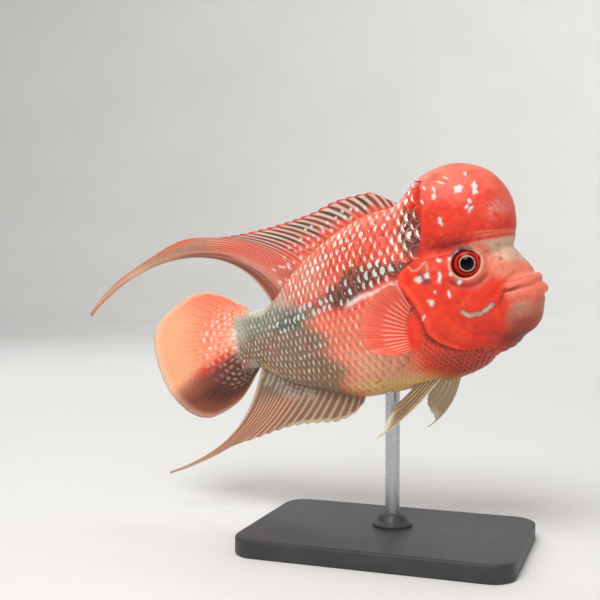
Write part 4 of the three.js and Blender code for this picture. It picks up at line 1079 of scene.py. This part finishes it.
ANAL = [
    (0.00, (-25.5, -47.5), (-26.5, -49.0), (-28.0, -50.6), (-29.6, -53.4)),
    (0.08, (-30.5, -47.0), (-32.0, -50.0), (-34.5, -54.0), (-38.5, -59.4)),
    (0.18, (-37.5, -46.0), (-40.0, -50.0), (-44.0, -55.5), (-50.0, -61.8)),
    (0.30, (-46.0, -43.5), (-50.0, -48.5), (-55.5, -54.5), (-63.0, -61.2)),
    (0.42, (-54.5, -41.0), (-59.5, -47.0), (-67.0, -54.5), (-77.0, -60.9)),
    (0.54, (-63.0, -37.5), (-70.0, -45.5), (-80.0, -55.0), (-92.0, -62.4)),
    (0.64, (-70.0, -34.0), (-78.0, -44.5), (-91.0, -56.5), (-108.0, -65.2)),
    (0.72, (-75.5, -31.0), (-85.0, -44.5), (-100.0, -59.5), (-124.0, -67.4)),
    (0.80, (-80.5, -28.5), (-91.0, -45.5), (-108.0, -63.0), (-142.0, -72.8)),
    (0.88, (-85.5, -25.0), (-97.0, -46.0), (-115.0, -66.5), (-160.0, -76.8)),
    (0.94, (-89.0, -22.5), (-101.5, -46.5), (-118.5, -68.5), (-172.3, -78.6)),
    (1.00, (-92.5, -20.5), (-105.5, -46.8), (-121.5, -69.4), (-172.3, -77.2)),
]
ANAL_SPOTS = []
for i in range(12):
    for k in range(4):
        s_ = -60 - 2.9 * i - 1.45 * (k % 2) + 0.3 * math.sin(i * 7 + k * 3); b_ = float(bottom_of(s_))
        ANAL_SPOTS.append((s_, b_ - 1.8 - 2.9 * k + 0.3 * math.sin(i * 3 + k * 5), 1.0 + 0.15 * math.sin(i + k)))


def anal_colour(s, t, r, w, u, rd):
    c = mix(np.zeros(np.shape(s) + (3,)) + rgb(122, 94, 76), rgb(186, 152, 124), sm(rd, 0.3, 0.85))
    mid = sm(u, 0.5, 0.66) * sm(w, 0.2, 0.4)
    c = mix(c, rgb(208, 154, 128), mid * sm(rd, 0.2, 0.8) * 0.85)
    c = mix(c, rgb(150, 96, 74), mid * (1 - sm(rd, 0.15, 0.5)) * 0.6)
    base = (1 - sm(w, 0.12, 0.34)) * sm(u, 0.35, 0.6)
    c = mix(c, rgb(104, 88, 74), base * 0.85)
    c = mix(c, rgb(206, 190, 166), sm(w, 0.84, 0.96) * (1 - sm(u, 0.4, 0.6)) * 0.75)
    c = mix(c, rgb(196, 176, 150), sm(u, 0.955, 0.99) * 0.8)
    c = mix(c, rgb(168, 146, 122), sm(w, 0.7, 0.95) * sm(u, 0.66, 0.8) * 0.8)
    c = mix(c, rgb(168, 162, 148), spots(ANAL_SPOTS, s, t, 0.45) * (1 - sm(w, 0.26, 0.42)) * 0.8)
    return c


median_fin("anal", ANAL, 20, 11, 34, anal_colour, lambda w, u, s: 0.60 - 0.32 * sm(w, 0.0, 0.8), "anal_fin", 0.8, 0.5, 0.05)

CAUDAL_EDGE = [(-97.5, 15.0), (-103, 18.6), (-110, 23.4), (-118, 27.6), (-126, 29.7), (-134, 29.2), (-142, 26.6), (-150, 23.2),
               (-157, 19.0), (-162, 14.2), (-165.0, 8.0), (-165.8, 1.0), (-165.8, -6.0), (-165.2, -14.0), (-163.2, -23.5), (-159.6, -31.6),
               (-154.2, -38.8), (-148, -44.1), (-141.6, -47.1), (-135.6, -48.0), (-129, -46.8), (-121, -44.1), (-113.6, -40.3), (-106.5, -34.2), (-101.2, -28.6), (-98.0, -25.4)]


def caudal_keys():
    e = np.array(CAUDAL_EDGE)
    d = np.concatenate([[0], np.cumsum(np.linalg.norm(np.diff(e, axis=0), axis=1))]); d /= d[-1]
    keys = []
    for k in range(len(e)):
        u = d[k]
        a = 11.6 - 34.0 * u
        root = np.array([-94.5 - 1.2 * math.sin(u * math.pi), a])
        tip = e[k]
        v = tip - root
        bow = np.array([0.0, 1.0]) * (0.5 - u) * 0.10 * np.linalg.norm(v)
        keys.append((u, tuple(root), tuple(root + v / 3 - bow), tuple(root + v * 2 / 3 - bow * 0.6), tuple(tip)))
    return keys


def caudal_colour(s, t, r, w, u, rd):
    c = mix(np.zeros(np.shape(s) + (3,)) + rgb(236, 118, 92), rgb(246, 156, 124), sm(rd, 0.2, 0.9))
    c = mix(c, rgb(246, 172, 132), sm(w, 0.4, 0.8) * sm(-s, 114, 146) * 0.9)
    c = mix(c, rgb(250, 196, 168), bell(np.hypot((s + 108) / 9, (t + 4) / 9), 1.0) * 0.6)
    c = mix(c, rgb(238, 120, 92), sm(u, 0.0, 0.1) * (1 - sm(u, 0.2, 0.34)) * sm(w, 0.5, 0.8) * 0.5)
    # below a slanting line the tail fin turns dark brown-red, darkest near the line, with a red band just above it:
    # partly the fin's own dark colour, partly painted shade where the lower part folds away from the light
    split = (t + 5.0) + 0.36 * (-s - 97) * 1.12
    dark = sm(-split + 2.4 * np.sin(r * 2.0) + 1.4 * np.sin(r * 0.9 + w * 5), -7, 9)
    pigment_and_shade = mix(np.zeros_like(c) + rgb(60, 28, 20), rgb(84, 44, 32), sm(rd, 0.2, 0.9))
    pigment_and_shade = mix(pigment_and_shade, rgb(150, 84, 60), sm(w, 0.66, 0.98) * 0.65)
    pigment_and_shade = mix(pigment_and_shade, rgb(88, 26, 20), bell(split + 5, 7.0) * 0.75)
    c = c * (1 - dark[..., None]) + pigment_and_shade * dark[..., None]
    c = mix(c, rgb(196, 44, 30), bell(split - 1.5, 3.0) * sm(w, 0.15, 0.3) * (1 - sm(w, 0.55, 0.8)) * 0.75)
    c = mix(c, rgb(222, 190, 166), sm(w, 0.90, 0.985) * (1 - 0.5 * dark) * 0.8)
    net = 0.5 + 0.5 * np.cos(2 * math.pi * (r + 0.5 * np.floor(w * 22))) * np.sin(w * 22 * math.pi) ** 2
    foot = 1 - sm(w + 0.02 * np.cos(2 * math.pi * r), 0.14, 0.26)
    c = mix(c, mix(np.zeros_like(c) + rgb(150, 134, 116), rgb(212, 204, 188), net), foot * (1 - 0.45 * sm(u, 0.5, 0.8)) * 0.9)
    # pale spots in rows between every other pair of rays
    run = 36 + 34 * np.sin(math.pi * np.clip(u, 0, 1)) ** 0.7
    gapw = 4.9 / run
    cell = np.floor(r); off = 0.5 * (cell % 2)
    k = np.floor((w - 0.15) / gapw - off)
    wk = 0.15 + (k + 0.5 + off) * gapw + 0.5 / run * np.sin(cell * 5 + k * 3)
    d = np.hypot((r - cell - 0.5 - 0.08 * np.sin(cell * 3 + k * 7)) / 0.36, (w - wk) * run / 1.25)
    sp = (1 - sm(d, 0.5, 1.15)) * (k >= 0) * (1 - sm(wk, 0.46, 0.62)) * (0.72 + 0.28 * np.sin(cell * 7 + k * 5))
    sp = np.maximum(sp, spots([(-107.4, 0.6, 2.2), (-108.2, -1.8, 1.7)], s, t, 0.4))
    c = mix(c, rgb(250, 222, 208), sp * (1 - dark) * 0.9)
    c = mix(c, rgb(172, 156, 140), sp * dark * 0.75)
    return c


median_fin("caudal", caudal_keys(), 22, 12, 40, caudal_colour, lambda w, u, s: 0.34 + 0.5 * (1 - sm(w, 0.0, 0.6)), "caudal_fin", 0.35, 0.7, 0.004)


def paired_fin(name, side, root, margin, bow, rays, per, nv, colour, half, node, mat, branch=0.45, cup=0.0):
    root, margin = np.array(root, float), np.array(margin, float)
    nu = rays * per
    u = np.linspace(0, 1, nu + 1)

    def along(P_, u_):
        d = np.concatenate([[0], np.cumsum(np.linalg.norm(np.diff(P_, axis=0), axis=1))]); d /= d[-1]
        return np.stack([pchip(d, P_[:, k])(u_) for k in range(3)], -1)
    a, b = along(root, u), along(margin, u)
    w = np.linspace(0, 1, nv + 1)
    U, W = np.meshgrid(u, w, indexing="ij")
    Rr = np.repeat((rays * u)[:, None], nv + 1, 1)
    rd = ridge(Rr)
    fork = sm(W, branch, branch + 0.2)
    rd = rd * (1 - fork) + fork * (0.5 * rd + 0.5 * ridge(Rr * 2 + 0.5))
    W2 = W * (1 - 0.02 * (1 - ridge(Rr, 0.7)) * sm(W, 0.85, 1.0))
    k = 4 * W2 * (1 - W2)
    mid = a[:, None] * (1 - W2[..., None]) + b[:, None] * W2[..., None]
    mid[..., 0] += bow[0] * k * (1 - U); mid[..., 1] += bow[1] * k + cup * np.sin(U * math.pi) * W2; mid[..., 2] += bow[2] * k * (1 - U)
    mid[..., 1] += 0.25 * np.sin(Rr * 2 * math.pi * 0.5) * sm(W, 0.3, 1.0)
    du = np.gradient(mid, axis=0); dw = np.gradient(mid, axis=1)
    nrm = np.cross(du, dw)
    nrm /= np.maximum(np.linalg.norm(nrm, axis=-1, keepdims=True), 1e-9)
    mid[..., 1] *= side; nrm[..., 1] *= side
    th = half(W, U) * (0.45 + 0.8 * rd)
    col = colour(mid[..., 0], mid[..., 2], Rr, W, U, rd)
    return solid_sheet(name, mid, nrm, th, col, np.stack([Rr, W, U], -1), mat, node)


def pectoral_colour(s, t, r, w, u, rd):
    c = mix(np.zeros(np.shape(s) + (3,)) + rgb(236, 88, 70), rgb(250, 172, 152), sm(rd, 0.5, 0.95))
    c = mix(c, rgb(226, 64, 46), (1 - sm(w, 0.0, 0.16)) * 0.85)
    c = mix(c, rgb(230, 124, 104), sm(w, 0.7, 1.0) * 0.6)
    c = mix(c, rgb(244, 170, 150), (1 - sm(u, 0.0, 0.04)) * 0.7)
    return c


PECTORAL = dict(
    root=[[18.8, 19.0, -9.0], [16.2, 19.0, -14.6], [14.4, 19.0, -21], [14.2, 18.6, -28]],
    margin=[[18.5, 34, 7.2], [14.8, 35.5, 7.4], [9.5, 37, 5.2], [4.5, 38, 1.6], [1.4, 38.4, -3], [-1.0, 38.4, -9], [-2.4, 37.6, -16], [-2.4, 36, -22], [1.5, 33.6, -26.0], [9, 29, -29]])
for side, tag in ((-1, "r"), (1, "l")):
    paired_fin("pectoral_" + tag, side, PECTORAL["root"], PECTORAL["margin"], (0, 1.2, 0), 15, 10, 28, pectoral_colour,
               lambda w, u: 0.5 - 0.28 * sm(w, 0, 0.6), "pectoral_fin_" + tag, CLEAR_MAT)


def pelvic_colour(s, t, r, w, u, rd):
    c = mix(np.zeros(np.shape(s) + (3,)) + rgb(118, 96, 68), rgb(192, 170, 134), sm(rd, 0.35, 0.85))
    c = mix(c, rgb(132, 98, 66), bell(u - 0.32, 0.10) * sm(w, 0.15, 0.3) * (1 - sm(w, 0.8, 0.95)) * 0.7)
    c = mix(c, rgb(150, 132, 80), (1 - sm(w, 0.0, 0.3)) * sm(u, 0.4, 0.8) * 0.7)
    c = mix(c, rgb(226, 214, 192), (1 - sm(u, 0.0, 0.10)) * 0.8)
    c = mix(c, rgb(228, 222, 202), sm(w, 0.78, 0.95) * (1 - sm(u, 0.3, 0.6)) * 0.85)
    c = mix(c, rgb(150, 142, 118), sm(u, 0.8, 1.0) * sm(w, 0.3, 0.7) * 0.6)
    return c


PELVIC_R = dict(root=[[24, 5.5, -43.5], [16, 5.5, -44], [8, 5, -44.5]],
                margin=[[-17, 15, -72.4], [-12.5, 14, -67.5], [-8.5, 12.5, -61.5], [-4.5, 11, -56.5], [1, 8.5, -52.6], [4.5, 7, -50.5]])
PELVIC_L = dict(root=[[31, 5.5, -43.5], [24, 5.5, -44], [17, 5, -44.5]],
                margin=[[-0.5, 15, -73.2], [5.5, 14.5, -69], [4.5, 13, -64.5], [4, 11.5, -60], [6.5, 9, -55.5], [11, 7.5, -51.5]])
paired_fin("pelvic_r", -1, PELVIC_R["root"], PELVIC_R["margin"], (-1, 0, -3.4), 7, 14, 30, pelvic_colour,
           lambda w, u: 0.62 - 0.36 * sm(w, 0, 0.9), "pelvic_fin_r", PALE_MAT, 0.4)
# the far pelvic fin is a lighter copy of the same fin colour: painted light
paired_fin("pelvic_l", 1, PELVIC_L["root"], PELVIC_L["margin"], (3.4, 0, -3.4), 7, 14, 30,
           lambda *a: pelvic_colour(*a) * 0.6 + rgb(226, 214, 186) * 0.4,
           lambda w, u: 0.62 - 0.36 * sm(w, 0, 0.9), "pelvic_fin_l", PALE_MAT, 0.4)

# ------------------------------------------------------------------ eyes
def eye_material():
    m = Nodes("eye_mat")
    col = m.attribute("bcol").outputs["Color"]
    n = m.ramp(m.noise(900, 3), 0.3, 0.7, 0.75, 1.2)
    v = m.add("ShaderNodeCombineColor")
    for i in range(3):
        m.link(n, v.inputs[i])
    m.link(m.blend(1.0, col, v.outputs[0], "MULTIPLY"), m.b.inputs["Base Color"])
    m.bump(m.noise(1400, 2), 0.05, 0.0003)
    m.b.inputs["Roughness"].default_value = 0.12
    m.b.inputs["Coat Weight"].default_value = 0.14
    m.b.inputs["Coat Roughness"].default_value = 0.03
    m.b.inputs["Specular IOR Level"].default_value = 0.08
    return m.m


EYE_MAT = eye_material()


def build_eye(side, tag):
    nr, na = 60, 96
    lat = np.linspace(0, math.pi, nr + 1)
    lon = np.linspace(0, 2 * math.pi, na, endpoint=False)
    LA, LO = np.meshgrid(lat[1:-1], lon, indexing="ij")
    r, dep = EYE["r"], EYE["depth"]
    rad = np.sin(LA)
    front = np.cos(LA)
    bulge = front * dep
    # shallow steps: lens dome, ring, iris hollow
    rr_ = rad * r
    bulge = bulge + np.where(front > 0, 0.35 * bell(rr_, 3.6) - 0.16 * bell(rr_ - 4.6, 0.5) + 0.12 * bell(rr_ - 7.6, 0.6), 0)
    x, z = rr_ * np.cos(LO), rr_ * np.sin(LO)
    tilt = math.radians(10)
    X = x * math.cos(tilt) + bulge * math.sin(tilt)
    Y = -x * math.sin(tilt) + bulge * math.cos(tilt)
    pts = np.stack([X, Y, z], -1).reshape(-1, 3)
    tipf = np.array([[(dep + 0.35) * math.sin(tilt), (dep + 0.35) * math.cos(tilt), 0]]); tipb = np.array([[-dep * math.sin(tilt), -dep * math.cos(tilt), 0]])
    pts = np.concatenate([pts, tipf, tipb])
    rads = np.concatenate([np.where(front > 0, rr_, 8.5).reshape(-1), [0, 8.5]])
    ang = np.concatenate([LO.reshape(-1), [0, 0]])
    fib = 0.5 + 0.5 * np.sin(ang * 37 + 2 * np.sin(ang * 11))
    c = np.zeros((len(pts), 3)) + rgb(176, 30, 20)
    c = mix(c, rgb(120, 16, 12), fib * 0.45)
    c = mix(c, rgb(214, 52, 38), bell(rads - 5.8, 0.5) * 0.8)
    c = mix(c, rgb(60, 14, 12), bell(rads - 4.8, 0.45) * 0.9)
    c = mix(c, rgb(110, 24, 18), sm(rads, 6.3, 7.1) * 0.8)
    c = mix(c, rgb(218, 186, 160), bell(rads - 3.90, 0.17))
    c = mix(c, rgb(1, 1, 1), 1 - sm(rads, 3.66, 3.8))
    S_, Y_, T_ = EYE["s"] + pts[:, 0], side * (EYE["y"] + pts[:, 1]), EYE["t"] + pts[:, 2]
    n_rings = nr - 1
    i, j = np.meshgrid(np.arange(n_rings - 1), np.arange(na), indexing="ij")
    a = (i * na + j).ravel(); b = (i * na + (j + 1) % na).ravel(); d = ((i + 1) * na + (j + 1) % na).ravel(); e = ((i + 1) * na + j).ravel()
    Fq = np.stack([a, b, d, e], 1)
    k = np.arange(na); m_ = n_rings * na
    Ft = np.concatenate([np.stack([np.full(na, m_), (k + 1) % na, k], 1),
                         np.stack([np.full(na, m_ + 1), (n_rings - 1) * na + k, (n_rings - 1) * na + (k + 1) % na], 1)])
    if side < 0:
        Fq, Ft = Fq[:, ::-1], Ft[:, ::-1]
    ob = make_object("eyeball_" + tag, place(S_, Y_, T_), [Fq, Ft])
    attr(ob, "bcol", c, "COLOR")
    ob.data.materials.append(EYE_MAT)
    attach(ob, "root"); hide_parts("eye_" + tag)
    return ob


build_eye(-1, "r"); build_eye(1, "l")

# ------------------------------------------------------------------ stand
def stand_materials():
    m = Nodes("stand_base_mat")
    n = m.noise(60, 4)
    m.link(m.blend(m.ramp(n, 0.35, 0.65), rgb(48, 48, 51), rgb(58, 58, 60)), m.b.inputs["Base Color"])
    m.link(m.ramp(m.noise(900, 2), 0.3, 0.7, 0.42, 0.55), m.b.inputs["Roughness"])
    m.bump(m.noise(2600, 2), 0.12, 0.0004)
    r = Nodes("stand_rod_mat")
    mp = r.add("ShaderNodeMapping")
    mp.inputs["Scale"].default_value = (1, 1, 26)
    r.link(r.coords(), mp.inputs["Vector"])
    st = r.noise(220, 4, 0.6, mp.outputs[0])
    r.link(r.blend(r.ramp(st, 0.3, 0.7), rgb(170, 172, 176), rgb(206, 208, 210)), r.b.inputs["Base Color"])
    r.b.inputs["Metallic"].default_value = 1.0
    r.link(r.ramp(st, 0.3, 0.7, 0.26, 0.4), r.b.inputs["Roughness"])
    r.bump(st, 0.06, 0.0003)
    return m.m, r.m


BASE_MAT, ROD_MAT = stand_materials()
for node, mat in (("stand_base", BASE_MAT), ("stand_rod", ROD_MAT)):
    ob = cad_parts[node]
    ob.data.materials.clear()
    ob.data.materials.append(mat)

# ------------------------------------------------------------------ stage, light, camera
def stage_mesh():
    prof = [(r, 0.0) for r in (0.001, 0.4, 0.9, 1.6, 2.4)] + [(2.4 + 1.4 * math.sin(a), 1.4 - 1.4 * math.cos(a)) for a in np.linspace(0.1, math.pi / 2, 16)] + [(3.8, 3.2)]
    n = 96
    ang = np.linspace(0, 2 * math.pi, n, endpoint=False)
    V = np.array([[r * math.cos(a), r * math.sin(a), z] for r, z in prof for a in ang])
    Fs = np.array([[i * n + j, i * n + (j + 1) % n, (i + 1) * n + (j + 1) % n, (i + 1) * n + j] for i in range(len(prof) - 1) for j in range(n)])
    ob = make_object("studio_floor", V, Fs[:, ::-1])
    m = Nodes("studio_mat")
    m.link(m.blend(m.ramp(m.noise(3, 2), 0.3, 0.7), rgb(226, 225, 222), rgb(230, 229, 226)), m.b.inputs["Base Color"])
    m.b.inputs["Roughness"].default_value = 0.9
    m.b.inputs["Specular IOR Level"].default_value = 0.05
    ob.data.materials.append(m.m)


stage_mesh()
w = bpy.data.worlds.new("studio")
w.use_nodes = True
w.node_tree.nodes["Background"].inputs[0].default_value = (0.93, 0.95, 1.0, 1)
w.node_tree.nodes["Background"].inputs[1].default_value = 0.40
bpy.context.scene.world = w


def area(name, loc, aim, size, power, colour=(1, 1, 1)):
    d = bpy.data.lights.new(name, "AREA")
    d.shape, d.size, d.energy, d.color = "DISK", size, power, colour
    ob = bpy.data.objects.new(name, d)
    ob.location = loc
    ob.rotation_mode = "QUATERNION"
    ob.rotation_quaternion = (Vector(aim) - Vector(loc)).to_track_quat("-Z", "Y")
    bpy.context.scene.collection.objects.link(ob)


area("key", (-0.10, -0.80, 1.10), (0.0, 0.0, 0.14), 0.7, 14.0, (1.0, 0.985, 0.96))
area("fill", (0.95, -0.65, 0.35), (0.0, 0.0, 0.14), 0.8, 1.2, (1.0, 0.98, 0.96))
area("back", (-0.85, 0.75, 0.95), (-0.05, 0.0, 0.14), 0.8, 4.0, (0.97, 0.98, 1.0))
area("wall", (0.3, 1.6, 2.6), (0.6, 3.6, 0.9), 1.6, 46.0, (1.0, 1.0, 1.0))

CAM_A, CAM_E, CAM_D = math.radians(20.0), math.radians(2.0), 0.565
aim = Vector((-0.052, 0.0, 0.135))
back = Vector((math.sin(CAM_A) * math.cos(CAM_E), -math.cos(CAM_A) * math.cos(CAM_E), math.sin(CAM_E)))
cd = bpy.data.cameras.new("camera")
cd.lens, cd.sensor_width = 60.0, 36.0
cam = bpy.data.objects.new("camera", cd)
cam.location = aim + back * CAM_D
cam.rotation_mode = "QUATERNION"
cam.rotation_quaternion = (-back).to_track_quat("-Z", "Y")
bpy.context.scene.collection.objects.link(cam)
bpy.context.scene.camera = cam
bpy.context.scene.view_settings.view_transform = "Standard"
bpy.context.scene.view_settings.look = "None"
